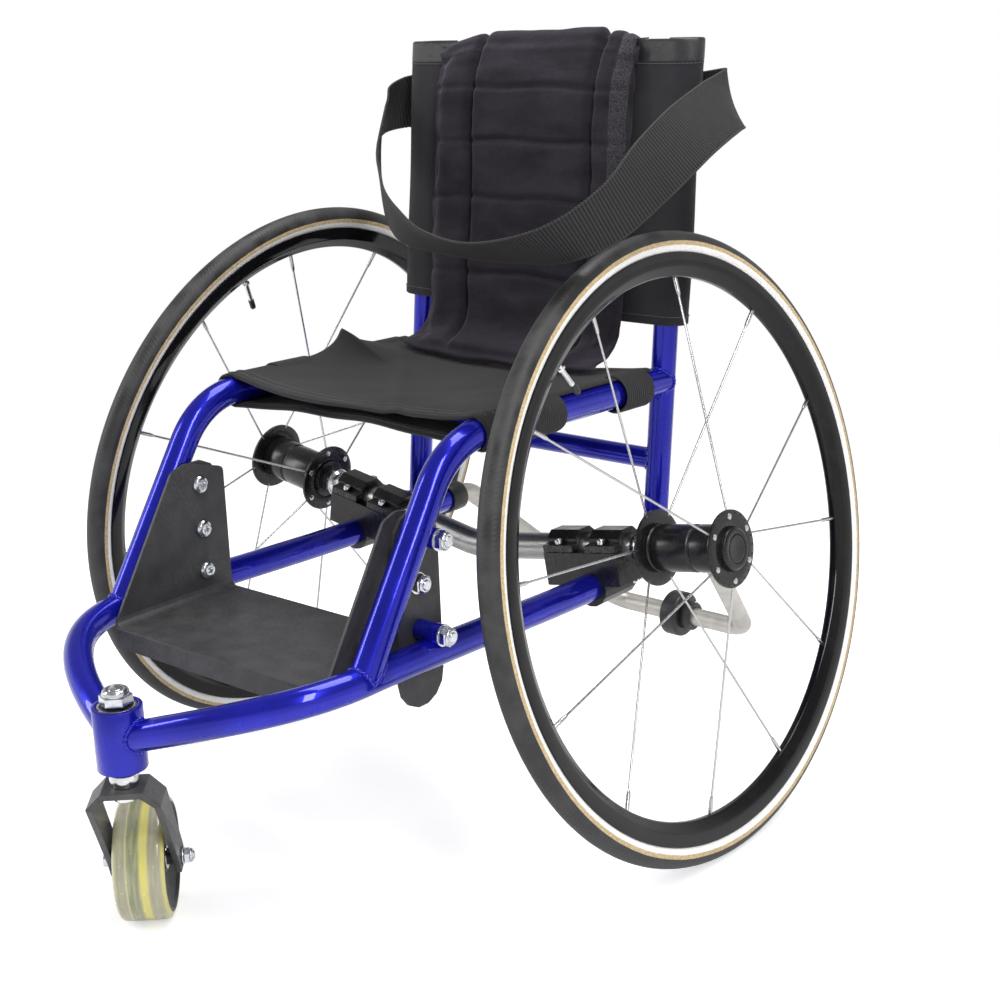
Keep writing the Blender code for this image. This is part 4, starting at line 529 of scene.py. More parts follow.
def urethane_look():
    """Clear yellow urethane through which the wheel's dark core shows as bands."""
    look = Look("cast_urethane", "urethane", (0.62, 0.60, 0.24), 0.16, Transmission_Weight=0.12, IOR=1.5,
                Coat_Weight=0.6, Coat_Roughness=0.06)
    across = look.spread(look.plus(look.axes()[2], look.wander(70, 2.0, 0.0014)), -0.0238, 0.0238)
    yellow, pale, grey, green = (0.82, 0.74, 0.16), (0.66, 0.63, 0.36), (0.40, 0.38, 0.28), (0.27, 0.29, 0.17)
    stops = [(0.0, yellow), (0.04, pale), (0.08, grey), (0.25, grey), (0.28, pale), (0.31, green),
             (0.50, green), (0.56, yellow), (0.67, yellow), (0.71, grey), (0.92, grey), (0.97, yellow)]
    cast = look.spread(look.noise(1.0, 4.0, look.coords(scale=(40, 40, 420))), 0.35, 0.7)
    look.set(Base_Color=look.mix(look.times(cast, 0.45), look.ramp(across, stops), pale))
    return look.rough(120, 4.0, 0.10, 0.28).grain(160, 0.00012, 3.0)


def woven_look(name, colour, pitch, depth, roughness=0.78, sheen=0.10, gloss=0.22):
    """Plain weave on the cloth's own coordinates, which are in metres."""
    look = Look(name, "nylon", colour, roughness, Sheen_Weight=sheen, Sheen_Roughness=0.5,
                Specular_IOR_Level=gloss)
    warp, weft = (look.math("SINE", look.times(axis, tau / pitch)) for axis in look.axes("UV")[:2])
    fuzz = look.noise(1800, 3.0)
    patches = look.spread(look.noise(22, 4.0, roughness=0.6), 0.3, 0.7)
    shade = look.shaded(patches, 0.7, fuzz, 0.3)
    look.set(Base_Color=look.mix(shade, tint(colour, 0.65), tint(colour, 1.7)))
    look.set(Roughness=look.spread(patches, 0, 1, roughness - 0.08, roughness + 0.08))
    return look.bump(look.times(warp, weft), depth).bump(fuzz, depth * 0.8)


def webbing_look():
    """Belt webbing with a rib every few millimetres across its length, coloured with a painted highlight on
    each rib's crest and painted shade between the ribs.
    """
    look = Look("ribbed_webbing", "webbing", (0.02, 0.02, 0.021), 0.6, Sheen_Weight=0.04,
                Specular_IOR_Level=0.25)
    u, v, _ = look.axes("UV")
    # Painted highlight along each rib's crest and painted shade in the troughs between the ribs
    painted_rib_shading = look.spread(look.math("COSINE", look.times(v, tau / RIB_PITCH)), -0.7, 0.8)
    yarn = look.math("SINE", look.times(u, tau / 0.0009))
    fuzz = look.noise(1500, 3.0)
    shade = look.shaded(painted_rib_shading, 0.75, fuzz, 0.3)
    look.set(Base_Color=look.mix(shade, (0.0025, 0.0025, 0.0028), (0.040, 0.039, 0.041)))
    look.set(Roughness=look.spread(fuzz, 0.3, 0.7, 0.5, 0.7))
    return look.bump(yarn, 0.00010).bump(fuzz, 0.00012)


def velvet_look():
    """Brushed velour: pile that lies in patches, and a paler fuzzy tape along one side."""
    colour = (0.018, 0.015, 0.021)
    look = Look("velour", "velvet", colour, 0.92, Sheen_Weight=0.28, Sheen_Roughness=0.42,
                Specular_IOR_Level=0.2, Sheen_Tint=(0.42, 0.39, 0.46, 1))
    x, y, z = look.axes()
    crushed = look.spread(look.noise(1.0, 5.0, look.coords(scale=(14, 14, 30)), 0.62), 0.32, 0.68)
    fine = look.noise(1.0, 3.0, look.coords(scale=(420, 420, 160)))
    pile = look.mix(look.shaded(crushed, 0.65, fine, 0.35), tint(colour, 0.55), tint(colour, 1.75))
    across = look.times(look.spread(x, 0.1110, 0.1122), look.spread(x, 0.1262, 0.1250))
    tape = look.times(across, look.spread(z, 0.600, 0.612))
    loops = look.noise(1100, 2.0)
    hook = look.mix(look.spread(loops, 0.4, 0.62), (0.014, 0.013, 0.016), (0.085, 0.080, 0.090))
    look.set(Base_Color=look.mix(look.times(tape, 0.9), pile, hook))
    return look.grain(1400, 0.0004, 3.0).bump(look.times(loops, tape), 0.0012).bump(crushed, 0.0009)


rubber = tyre_look()
urethane = urethane_look()
nylon = woven_look("woven_nylon", (0.013, 0.0125, 0.014), 0.0011, 0.00012)
canvas = woven_look("back_nylon", (0.020, 0.0185, 0.0225), 0.0010, 0.00010, 0.82, 0.12)
shiny_band = woven_look("coated_band", (0.016, 0.016, 0.018), 0.0007, 0.00004, 0.30, 0.0, 0.5)
webbing = webbing_look()
velvet = velvet_look()


# Frame paths
def post_axis(side, height):
    return Vector((side * HALF_WIDTH, post_y(height), height))


def base_path(side):
    x = side * HALF_WIDTH
    bend_end = Vector((x, ahead(0.345), 0.256))
    level = Vector((x, ahead(0.016), BASE_REAR))
    handle = Vector((0, 0.080, 0))
    leave = NOSE + Vector((side * 0.100, 0.0215, 0.033))
    front = bezier((NOSE, leave, bend_end - handle, bend_end), 40)
    middle = bezier((bend_end, bend_end + handle, level - handle, level), 12)
    return front + middle[1:] + [Vector((x, AXLE_Y + t, BASE_REAR)) for t in (0.05, 0.10, 0.149)]


def frame_path(side):
    x = side * HALF_WIDTH
    corners = ((x, ahead(0.3516), 0.256), (x, ahead(0.229), 0.4435), post_axis(side, 0.434))
    return rounded_path(corners, (0.085,), 26)


RAIL = frame_path(1)


def rail_height(y):
    return np.interp(y, [p.y for p in RAIL], [p.z for p in RAIL])


def weld(end, way, radius, other_way, other_radius, size=0.0021, count=84):
    """A rippled bead where a tube comes out of another tube whose axis passes its end."""
    way = Vector(way).normalized()
    other_way = Vector(other_way).normalized()
    first = way.orthogonal().normalized()
    second = way.cross(first)
    across = way - way.dot(other_way) * other_way
    line = []
    for i in range(count):
        turn = tau * i / count
        start = end + radius * (cos(turn) * first + sin(turn) * second)
        offset = start - end
        offset -= offset.dot(other_way) * other_way
        a, b, c = across.dot(across), offset.dot(across), offset.dot(offset) - other_radius**2
        line.append(start + way * ((-b + sqrt(max(b * b - a * c, 0.0))) / a))
    ripples = round(sum((b - a).length for a, b in zip(line, line[1:])) / 0.0042)
    fine = [line[i // 3].lerp(line[(i // 3 + 1) % count], i % 3 / 3) for i in range(count * 3)]
    radii = [size * (1 + 0.16 * sin(tau * ripples * i / len(fine))) for i in range(len(fine))]
    return sweep(fine, radii, 10, closed=True)


def build_frame():
    along = Vector((0, 1, 0))
    for label, side in SIDES:
        base = base_path(side)
        rail = frame_path(side)
        foot, top = post_axis(side, BASE_REAR), post_axis(side, POST_TOP)
        bead = weld(NOSE, base[1] - base[0], TUBE, (0, 0, 1), BARREL_RADIUS)
        cover("base_tube", "paint", label, merged(sweep(base, TUBE, 40), bead), blue)
        beads = [weld(rail[0], rail[1] - rail[0], TUBE, along, TUBE, 0.0019),
                 weld(rail[-1], rail[-2] - rail[-1], TUBE, top - foot, POST_RADIUS, 0.0017)]
        cover("side_frame", "paint", label, merged(sweep(rail, TUBE, 40), *beads), blue)
        post = sweep([foot.lerp(top, t) for t in np.linspace(0, 1, 12)], POST_RADIUS, 36)
        bead = weld(foot, top - foot, POST_RADIUS, along, TUBE, 0.0019)
        cover("back_post", "paint", label, merged(post, bead), blue)
        for name, height in (("upper", BOLT_HEIGHTS[0]), ("lower", BOLT_HEIGHTS[2])):
            start, end = Vector((side * 0.1498, BOLT_Y, height)), Vector((side * 0.178, BOLT_Y, height))
            boss = moved(ring(0, 5.3, 9.8, 28.2, 0, 40), facing(start, end))
            piece(f"{name}_boss_paint{label}", boss, blue)
    left, right = (post_axis(side, CROSSBAR_HEIGHT) for side in (-1, 1))
    bar = sweep([left.lerp(right, t) for t in np.linspace(0, 1, 8)], CROSSBAR, 36)
    lean = post_axis(1, 0.6) - post_axis(1, 0.3)
    beads = [weld(end, run, CROSSBAR, lean, POST_RADIUS, 0.0017)
             for end, run in ((left, right - left), (right, left - right))]
    cover("rear_crossbar", "paint", "", merged(bar, *beads), blue)

    at_barrel = Matrix.Translation((0, BARREL_Y, 0))
    upper = mm(BARREL_TOP, (14, -11.3), (17.8, -11.3), (17.8, 0), (22.5, 0))
    lower = mm(BARREL_LOW, (22.5, 0), (17.8, 0), (17.8, 11.3), (14, 11.3))
    barrel = turned(upper[2:] + lower + upper[:2], 96, closed=True, ease=0.0011)
    cover("caster_barrel", "paint", "", moved(barrel, at_barrel), blue)
    for name, low in (("upper", BARREL_TOP - 0.011), ("lower", BARREL_LOW)):
        race = ring(low, 14.8, 17.5, 10.8, 0, 72, 0.0003)
        piece(f"bearing_ring_{name}", moved(race, at_barrel), steel, "frame", (f"barrel_bearing_{name}",))
        piece(f"bearing_seal_{name}", moved(ring(low, 7.8, 14.7, 10.2, 0.8, 72), at_barrel), plastic)


def build_caster():
    swivel = Matrix.Translation((0, BARREL_Y, 0)) @ Matrix.Rotation(CASTER_YAW, 4, "Z")
    dress("caster_fork", smooth_satin, 0.0009, 20, 3)
    stem = mm(BARREL_TOP, (0, 15.6), (5.8, 15.6), (6.8, 14.6))
    stem += mm(BARREL_LOW, (7, -0.3), (11, -0.3), (11, -4.3), (13, -4.9), (13, -12.8), (11.8, -13.5))
    stem += mm(FORK_TOP, (11.8, 0.3), (7, 0.3), (7, -6.3), (11.5, -6.3), (11.5, -12.3), (9.5, -14.3),
               (0, -14.3))
    cover("caster_stem", "steel", "", turned(stem, 64, ease=0.0005), steel, swivel, "caster_swivel")
    low = BARREL_TOP + 0.0003
    crown = mm(low, (7.2, 15.2), (9.8, 15.2), (11.6, 13.6), (12.4, 10.5), (12.4, 10.2), (7.2, 10.2))
    shape = merged(nut(0.0150, low, low + 0.0112, 0.0072), turned(crown, 48, closed=True))
    cover("caster_stem_nut", "zinc", "", shape, zinc, swivel, "caster_swivel", 30)
    insert = ring(low, 7.1, 9.2, 14.9, 12, 40)
    piece("caster_stem_nut_insert", insert, plastic, "caster_swivel", (), swivel)

    axle = swivel @ Matrix.Translation((0, TRAIL, CASTER_HEIGHT)) @ Matrix.Rotation(pi / 2, 4, "Y")
    face = 0.0333
    shank = mm(face, (0, 11.3), (3.4, 11.3), (4, 10.6)) + mm(-face, (4, -1), (0, -1))
    cap = turned(mm(face, (0, 9.8), (5.6, 9.8), (6.4, 8.8), (6.6, 7.2), (0, 7.2)), 40)
    parts = [turned(shank, 32), ring(face, 4.1, 8.8, 1.5, 0), ring(-face - 0.0015, 4.1, 8.8, 1.5, 0),
             nut(0.0078, face + 0.0016, face + 0.0076), cap, nut(0.0078, -face - 0.0071, -face - 0.0016)]
    cover("caster_axle", "zinc", "", merged(*parts), zinc, axle, "caster_swivel", 30)

    half, inner, shoulder = 0.0238, 0.0510, 0.007
    corner = arc((CASTER_HEIGHT - shoulder, half - shoulder), shoulder, pi / 2, 0, 8)
    tread = turned(mirrored([(inner, half)] + corner), 144, closed=True, ease=0)
    cover("caster_tread", "urethane", "", tread, urethane, axle, "caster_wheel")
    hub_side = mm(0, (5, 25.8), (7.2, 25.8), (7.8, 24.5), (7.8, 19), (14, 18.2), (16.5, 15), (23, 14.2),
                  (36, 15.6), (46.5, 20.5), (49, 23.6), (50.7, 23.6))
    hub = turned(mirrored(hub_side), 120, closed=True, ease=0.0007)
    cover("caster_hub", "moulding", "", hub, plastic, axle, "caster_wheel")
    bearing = merged(ring(0, 5.2, 11.8, 19.6, 17.5), ring(0, 4.6, 6.6, 26.2, 18.5, 40))
    for name, turn in (("near", 0), ("far", pi)):
        shape = moved(bearing, Matrix.Rotation(turn, 4, "X"))
        piece(f"caster_bearing_{name}", shape, steel, "caster_wheel", (), axle)


def build_footplate():
    dress("footplate", satin, 0.0006, 25, 3)
    for label, side in SIDES:
        dress(f"footplate_strip{label}", satin, 0.0005, 30)
        for row, height in enumerate(BOLT_HEIGHTS):
            seat = 0.1496 if row == 1 else 0.1783
            shank = mm(seat, (0, 12.6), (4.3, 12.6), (5, 11.6))
            shank += mm(0.1417, (5, 0), (9.2, 0), (9, -1.8), (7.8, -3.8), (5.5, -5), (3.4, -5.2), (3.4, -2.2),
                        (0, -2.2))
            crown = mm(seat, (5, 11.2), (6.6, 11.2), (7.8, 10), (8, 8.8), (5, 8.8))
            parts = [turned(shank, 48, ease=0.0003), ring(seat, 5.2, 10.4, 1.6, 0),
                     nut(0.0098, seat + 0.0017, seat + 0.0092), turned(crown, 40, closed=True)]
            place = Matrix.Translation((0, BOLT_Y, height)) @ Matrix.Rotation(side * pi / 2, 4, "Y")
            end = f"{label}_{row + 1}"
            node = f"footplate_bolt{end}"
            piece(f"plate_bolt_zinc{end}", merged(*parts), zinc, "frame", (node,), place, 30)


def axle_centre(side):
    return Vector((side * HALF_TRACK, AXLE_Y, WHEEL_HEIGHT))


def axle_way(side):
    return Vector((side * cos(CAMBER), 0, sin(CAMBER)))


def wheel_place(side):
    return Matrix.Translation(axle_centre(side)) @ Matrix.Rotation(side * (pi / 2 - CAMBER), 4, "Y")


def build_axle():
    ends = [axle_centre(side) - axle_way(side) * 0.066 for side in (-1, 1)]
    middle = axle_centre(1) - axle_way(1) * (HALF_TRACK / cos(CAMBER))
    path = rounded_path((ends[0], middle, ends[1]), (0.120,), 16)
    cover("camber_tube", "brushed", "", sweep(path, TUBE, 48), brushed)
    axle = mm(0, (3.3, 40.7), (6, 40.7))
    axle += mm(-0.0657, (6, 20), (11, 20), (15, 18.5), (16, 15), (16, 6), (14, 0), (3.3, 0))
    screw = mm(0.0088, (0, 2.2), (2.2, 2.2), (2.4, 4.4), (3.8, 4.4), (4.2, 3.8), (4.2, 0), (2.5, 0))
    screw = turned(screw + mm(0, (2.5, -19.9), (0, -19.9)), 40, ease=0.0002)
    under = -0.034
    washer = turned(mm(under, (0, 0.1), (7.4, 0.1), (7.4, -1.2), (0, -1.2)), 40)
    tip = turned(mm(under, (0, -6), (2.4, -6), (2.4, -8.8), (1.8, -9.4), (0, -9.4)), 32)
    fixing = merged(washer, nut(0.0067, under - 0.0070, under - 0.0012), tip)
    stud_head = turned(mm(0.0088, (0, 4.6), (3.4, 4.6), (4.4, 3.6), (4.4, -0.2), (0, -0.2)), 40)
    for label, side in SIDES:
        stub = turned(axle, 64, closed=True, ease=0.0005)
        cover("stub_axle", "turned", label, stub, steel, wheel_place(side))
        dress(f"clamp_block{label}", anodised, 0.0009, 28, 3)
        clamp = Matrix.Translation(axle_centre(side) - axle_way(side) * ((HALF_TRACK - 0.152) / cos(CAMBER)))
        clamp = clamp @ Matrix.Rotation(-side * CAMBER, 4, "Y")
        for number, sign in ((1, -1), (2, 1)):
            end = f"{label}_{number}"
            dress(f"clamp_cap{end}", anodised, 0.0010, 28, 3)
            front, rear = (clamp @ Matrix.Translation((side * sign * 0.027, y, 0)) for y in (-0.0215, 0.0215))
            piece(f"clamp_screw{end}", screw, steel, "frame", (f"clamp_bolt{end}",), front)
            piece(f"clamp_nut_zinc{end}", fixing, zinc, place=rear, sharp=30)
            piece(f"clamp_stud_head{end}", stud_head, steel, place=rear)


# Wheels
FIRST_NIPPLE = {1: radians(22), -1: radians(8)}
SPOKES = 12
FLANGE_HALF = 0.002


def rim_way(side, angle):
    return Vector((-side * cos(angle), -sin(angle), 0))


def small_holes(count, circle, radius):
    """Shallow dark cups let into a flange's face."""
    cup = [(0, -0.0008), (radius * 0.92, -0.0008), (radius, 0.00012), (radius * 1.25, 0.0001)]
    cup = turned(cup, 12, ease=0)
    turns = [tau * (i + 0.5) / count for i in range(count)]
    return merged(*(moved(cup, Matrix.Translation((circle * cos(t), circle * sin(t), 0))) for t in turns))


def build_flange(which, offset, first, lead, label, side):
    """One hub flange with its holes and the spokes that it carries."""
    place = wheel_place(side)
    body = f"wheel{label}"
    flange = mm(offset, (21.3, 2), (30, 2), (37.5, 1.6), (37.5, -1.6), (30, -2), (21.3, -2))
    flange = turned(flange, 96, closed=True, ease=0.0005)
    piece(f"{which}_flange_turned{label}", flange, anodised, body, (), place)
    out = copysign(1, offset)
    turn = Matrix.Translation((0, 0, offset + out * (FLANGE_HALF - 0.00012)))
    if out < 0:
        turn = turn @ Matrix.Rotation(pi, 4, "X")
    holes = moved(small_holes(24, 0.0347, 0.0009), turn)
    piece(f"{which}_flange_holes{label}", holes, plastic, body, (), place)
    nipple = mm(0, (0, 18.5), (1.2, 18.5), (1.9, 16), (2.1, 12.5), (2.1, -1), (0, -1))
    nipple = turned(nipple, 16, ease=0.0003)
    head = turned(mm(0, (0, 1.2), (1.8, 1.1), (2.9, 0.6), (3.1, 0), (0, 0)), 24, ease=0)
    wires, heads = [], []
    for number in range(first, SPOKES, 2):
        angle = FIRST_NIPPLE[side] + number * tau / SPOKES
        end = rim_way(side, angle) * 0.2606
        root = rim_way(side, angle + lead) * 0.031
        root.z = offset
        run = (root - end).normalized()
        wires += [rod(root, end + run * 0.012, 0.00115, 12), moved(nipple, facing(end, end + run))]
        root.z = offset + out * FLANGE_HALF
        heads.append(moved(head, facing(root, root + Vector((0, 0, out)))))
    node = f"{which}_flange_with_spokes{label}"
    piece(f"{which}_spokes{label}", merged(*wires, *heads), wire, body, (node,), place, 30)


def build_wheel(label, side):
    place = wheel_place(side)
    body = f"wheel{label}"
    outer = arc((TYRE_CENTRE, 0), TYRE, radians(150), radians(-150), 44)
    inner = arc((TYRE_CENTRE, 0), 0.0098, radians(-150), radians(150), 10)
    cover("tyre", "rubber", label, turned(outer + inner, 256, closed=True, ease=0), rubber, place, body)
    flank = mm(0, (284, 9.6), (284.2, 10.5), (283, 10.6), (272, 10.1), (270, 9.4), (265.5, 6.2), (262.5, 4.7),
               (261.2, 3))
    seat = arc((TYRE_CENTRE, 0), 0.0127, pi + 0.84, pi - 0.84, 8)
    profile = flank + [(0.2608, 0.0)] + [(radius, -height) for radius, height in reversed(flank)] + seat
    cover("rim", "gloss", label, turned(profile, 256, closed=True, ease=0.0003), gloss, place, body, 30)

    inward = rim_way(side, FIRST_NIPPLE[side] + radians(15))
    root, tip = inward * 0.2612, inward * 0.2272
    collar = turned(mm(0, (0, 2.5), (4.2, 2.5), (4.2, 0), (0, 0)), 6, ease=0)
    stem = merged(rod(root, tip, 0.0025, 20), moved(collar, facing(root - inward * 0.0030, tip)))
    piece(f"valve_stem{label}", stem, steel, body, (), place)
    cap = turned(mm(0, (0, 11.2), (2.4, 11.2), (3.1, 9.8), (3.1, 0), (0, 0)), 24, ease=0.0004)
    piece(f"valve_cap{label}", moved(cap, facing(tip + inward * 0.0085, tip)), plastic, body, (), place)

    hub = mm(0, (14.3, 51.2), (18.6, 51.2), (20.5, 50), (21, 48.2), (21, 42.2), (23.5, 41.4), (23.5, 12),
             (22.2, 10.8), (22.2, 8.6), (23.5, 7.4), (23.5, -33), (22.2, -34.2), (22.2, -36.6), (23.5, -38),
             (23.5, -38.8), (21, -38.8), (21, -44.6), (6.3, -44.6), (6.3, 39.7), (14.3, 39.7))
    cover("hub_shell", "turned", label, turned(hub, 96, closed=True), anodised, place, body)
    piece(f"hub_seal{label}", ring(0, 6.6, 15, -44.7, -45.6), plastic, body, (), place)
    build_flange("outer", 0.0437, 1, radians(3), label, side)
    build_flange("inner", -0.041, 0, -radians(3), label, side)

    button = mm(0.0515, (0, -0.8), (8, -0.6), (12.2, 0), (13.4, -0.4), (14, -1.2), (14, -4.5), (3, -4.5))
    button = turned(button + mm(0, (3, 10.7), (0, 10.7)), 72, ease=0.0003)
    cover("release_button", "turned", label, button, anodised, place, f"button{label}")


def build_anti_tip():
    runs = []
    for side in (-1, 1):
        x = side * HALF_WIDTH
        runs.append([(x, AXLE_Y + 0.094, BASE_REAR), (x, AXLE_Y + 0.172, BASE_REAR),
                     (side * 0.098, ROLLER_Y, ROLLER_HEIGHT)])
    path = rounded_path(runs[0] + runs[1][::-1], (0.028, 0.032, 0.032, 0.028), 16)
    cover("anti_tip_bar", "blasted", "", sweep(path, 0.011, 40), blasted)
    collar = mm(0.1493, (11.7, 3), (15, 3), (17, 1.6), (17, -22), (14.3, -22), (14.3, 0), (11.7, 0))
    collar = turned(collar, 64, closed=True, ease=0.0005)
    for label, side in SIDES:
        place = Matrix.Translation((side * HALF_WIDTH, AXLE_Y, BASE_REAR)) @ Matrix.Rotation(-pi / 2, 4, "X")
        cover("bar_collar", "moulding", label, collar, plastic, place)
    place = Matrix.Translation((0, ROLLER_Y, ROLLER_HEIGHT)) @ Matrix.Rotation(pi / 2, 4, "Y")
    half = mm(0, (11.7, 12), (20, 12)) + arc((0.0235, 0.0075), 0.0045, pi / 2, 0, 8)
    roller = turned(mirrored(half), 96, closed=True, ease=0)
    cover("anti_tip_roller", "moulding", "", roller, plastic, place, "anti_tip_roller")
    stop = mm(0, (11.3, 24.6), (16.8, 24.6), (17.5, 23.8), (17.5, 13.2), (16.8, 12.6), (11.3, 12.6))
    stop = turned(stop, 64, closed=True)
    piece("roller_stop_moulding", stop, plastic, "frame", ("roller_stop_collar",), place)
    screw = mm(0, (0, 0.6), (1.6, 0.6), (1.8, 2), (3, 2), (3.6, 1.2), (3.6, -2), (0, -2))
    out = Vector((0, 0.64, 0.77))
    spot = Vector((0.0186, ROLLER_Y, ROLLER_HEIGHT)) + out * 0.0165
    piece("roller_stop_screw", moved(turned(screw, 32, ease=0.0002), facing(spot, spot + out)), steel)


# Cloth sheets
def sheet_shape(place, columns, rows, thickness, flat):
    """Both faces and the edges of a cloth; place takes arrays u and v from 0 to 1."""
    u, v = np.meshgrid(np.linspace(0, 1, columns + 1), np.linspace(0, 1, rows + 1))
    points = place(u, v)
    normal = unit(np.cross(np.gradient(points, axis=1), np.gradient(points, axis=0)))
    half = (thickness(u, v) if callable(thickness) else np.full(u.shape, thickness)) / 2
    lift = normal * half[:, :, None]
    wide = columns + 1
    count = wide * (rows + 1)
    grid = np.arange(count).reshape(rows + 1, wide)
    faces = []
    for a in grid[:-1, :-1].ravel().tolist():
        faces.append((a, a + 1, a + wide + 1, a + wide))
        faces.append((count + a, count + a + wide, count + a + wide + 1, count + a + 1))
    rim = np.concatenate([grid[0], grid[1:, -1], grid[-1, -2::-1], grid[-2:0:-1, 0]])
    inner = np.clip(rim // wide, 1, rows - 1) * wide + np.clip(rim % wide, 1, wide - 2)
    middle = points.reshape(-1, 3)
    middle = middle[rim] + unit(middle[rim] - middle[inner]) * half.reshape(-1)[rim][:, None] * 0.8
    total = len(rim)
    for k, a in enumerate(rim.tolist()):
        b = int(rim[(k + 1) % total])
        m, n = 2 * count + k, 2 * count + (k + 1) % total
        faces += [(a, m, n, b), (m, count + a, count + b, n)]
    uv = np.stack([u * flat[0], v * flat[1]], -1).reshape(-1, 2)
    verts = np.concatenate([(points + lift).reshape(-1, 3), (points - lift).reshape(-1, 3), middle])
    return (verts, faces), np.concatenate([uv, uv, uv[rim]]), points, normal, half


def stitches(line, normals):
    """A row of thread stitches that lie along a line of points."""
    runs = run_lengths(line)
    shapes = []
    for start in np.arange(STITCH_PITCH, runs[-1] - STITCH_PITCH, STITCH_PITCH):
        path = []
        for share, lift in ((0, -0.6), (0, 0.5), (0.5, 0.9), (1, 0.5), (1, -0.6)):
            where = start + share * STITCH_LENGTH
            path.append(on_line(where, runs, line) + unit(on_line(where, runs, normals)) * THREAD * lift)
        shapes.append(sweep(path, THREAD * np.array((0.8, 1, 1, 1, 0.8)), 6))
    return merged(*shapes)


# Seat
SEAT_WRAP = radians(55)
SEAT_FRONT = 0.192
SEAT_REAR = 0.075
SEAT_RADIUS = TUBE + 0.0004 + SLING / 2 + 0.0006


def seat_height(x, y):
    """Height of the seat cloth between the rails, with its folds."""
    share = np.minimum(np.abs(x) / HALF_WIDTH, 1.0)
    sag = 0.012 * (1 - share * share)
    loose = 1 - share**4
    d = y - AXLE_Y
    swell = 0.5 + 0.5 * np.sin(x * 23 + d * 17 + 0.4) * np.sin(d * 29 - x * 9)
    crease = 0.0011 * np.sin(x * 21 + d * 44 + 1.6 * np.sin(x * 19 + d * 7)) * loose * swell
    crease += 0.0006 * np.sin(x * 74 - d * 35 + 2.1 * np.sin(d * 31)) * loose * (1 - swell)
    dy = y - ahead(0.020)
    pucker = 0.011 * hump(dy, 0.034) + 0.014 * np.exp(-np.abs(dy + 0.006) / 0.0075)
    lift = pucker * smoothstep((-x - 0.09) / (HALF_WIDTH - 0.09))
    ridge = 0.0022 * hump(x + 0.05 + 0.9 * (y - ahead(0.06)), 0.012) * loose
    return rail_height(y) + SEAT_RADIUS - sag + crease + lift + ridge


def side_and_edge(u):
    """Which side of the middle a share of the width is on, and how far in from the edge."""
    return np.where(u < 0.5, -1.0, 1.0), np.where(u < 0.5, u, 1 - u)


def seat_place(u, v):
    y = ahead(SEAT_FRONT) + v * (SEAT_FRONT + SEAT_REAR)
    side, edge = side_and_edge(u)
    wrap = 0.2
    across = side * HALF_WIDTH * (1 - (edge - wrap) / (0.5 - wrap))
    y = y + 0.004 * np.sin(across * 30 + 0.6) * (1 - v) * (edge > wrap)
    last = -SEAT_WRAP + (SEAT_WRAP + radians(72)) * smoothstep((v - 0.245) / 0.05)
    turn = last + (pi / 2 - last) * np.minimum(edge / wrap, 1)
    round_x = side * (HALF_WIDTH + SEAT_RADIUS * np.cos(turn))
    lift = seat_height(side * HALF_WIDTH, y) - rail_height(y) - SEAT_RADIUS
    round_z = rail_height(y) + SEAT_RADIUS * np.sin(turn) + lift * smoothstep(2 * edge / wrap - 1)
    flat = edge >= wrap
    return np.stack([np.where(flat, across, round_x), y, np.where(flat, seat_height(across, y), round_z)], -1)


def under_place(u, v):
    y = ahead(0.185) + v * 0.050
    radius = TUBE + 0.0027
    wrap = 0.125
    side, edge = side_and_edge(u)
    turn = -radians(64) - radians(26) * np.minimum(edge / wrap, 1)
    x = np.where(edge < wrap, side * (HALF_WIDTH + radius * np.cos(turn)),
                 side * HALF_WIDTH * (1 - (edge - wrap) / (0.5 - wrap)))
    rise = (1 - (x / HALF_WIDTH) ** 2) * (0.008 + 0.0010 * np.sin(x * 60 + v * 2))
    z = np.where(edge < wrap, rail_height(y) + radius * np.sin(turn), rail_height(y) - radius + rise)
    return np.stack([x, y, z], -1)


def build_seat():
    rows = 130

    def hems(u, v):
        front = smoothstep((0.085 - v) / 0.004)
        rear = smoothstep((v - 0.955) / 0.004)
        return SLING * (0.82 + 0.55 * np.maximum(front, rear))

    shape, uv, points, normal, half = sheet_shape(seat_place, 150, rows, hems, (0.50, SEAT_FRONT + SEAT_REAR))
    seat = piece("seat_cloth", shape, nylon, "frame", ("seat_sling",), uv=uv, sharp=60)
    between = slice(22, -22)
    seams = []
    for j in (round(share * rows) for share in (0.030, 0.070)):
        out = normal[j, between]
        seams.append(stitches(points[j, between] + out * half[j, between, None], out))
    piece("seat_stitching", merged(*seams), thread)

    shape, uv, points, normal, half = sheet_shape(under_place, 140, 24, 0.0040, (0.36, 0.050))
    under = piece("under_seat_cloth", shape, nylon, "frame", ("under_seat_strap",), uv=uv, sharp=60)
    between = slice(20, -20)
    seams = []
    for j in (2, 5, 21):
        for sign in (1, -1):
            out = sign * normal[j, between]
            seams.append(stitches(points[j, between] + out * 0.0020, out))
    piece("under_seat_stitching", merged(*seams), thread)

    for number, (front, length) in enumerate(((0.1290, 0.049), (-0.0180, 0.045))):
        for label, side in SIDES:
            def place(u, v, side=side, front=front, length=length):
                y = ahead(front) + v * length
                turn = radians(150) - u * radians(300)
                radius = TUBE + 0.0004 + SLING * 0.8 + 0.0014 + 0.00035 * np.cos(v * length * tau / RIB_PITCH)
                x = side * (HALF_WIDTH + radius * np.cos(turn))
                return np.stack([x, y, rail_height(y) + radius * np.sin(turn)], -1)
            shape, uv, *_ = sheet_shape(place, 60, 110, 0.0022, (0.11, length))
            strap = piece(f"rail_webbing{label}_{number + 1}", shape, webbing, uv=uv, sharp=60)


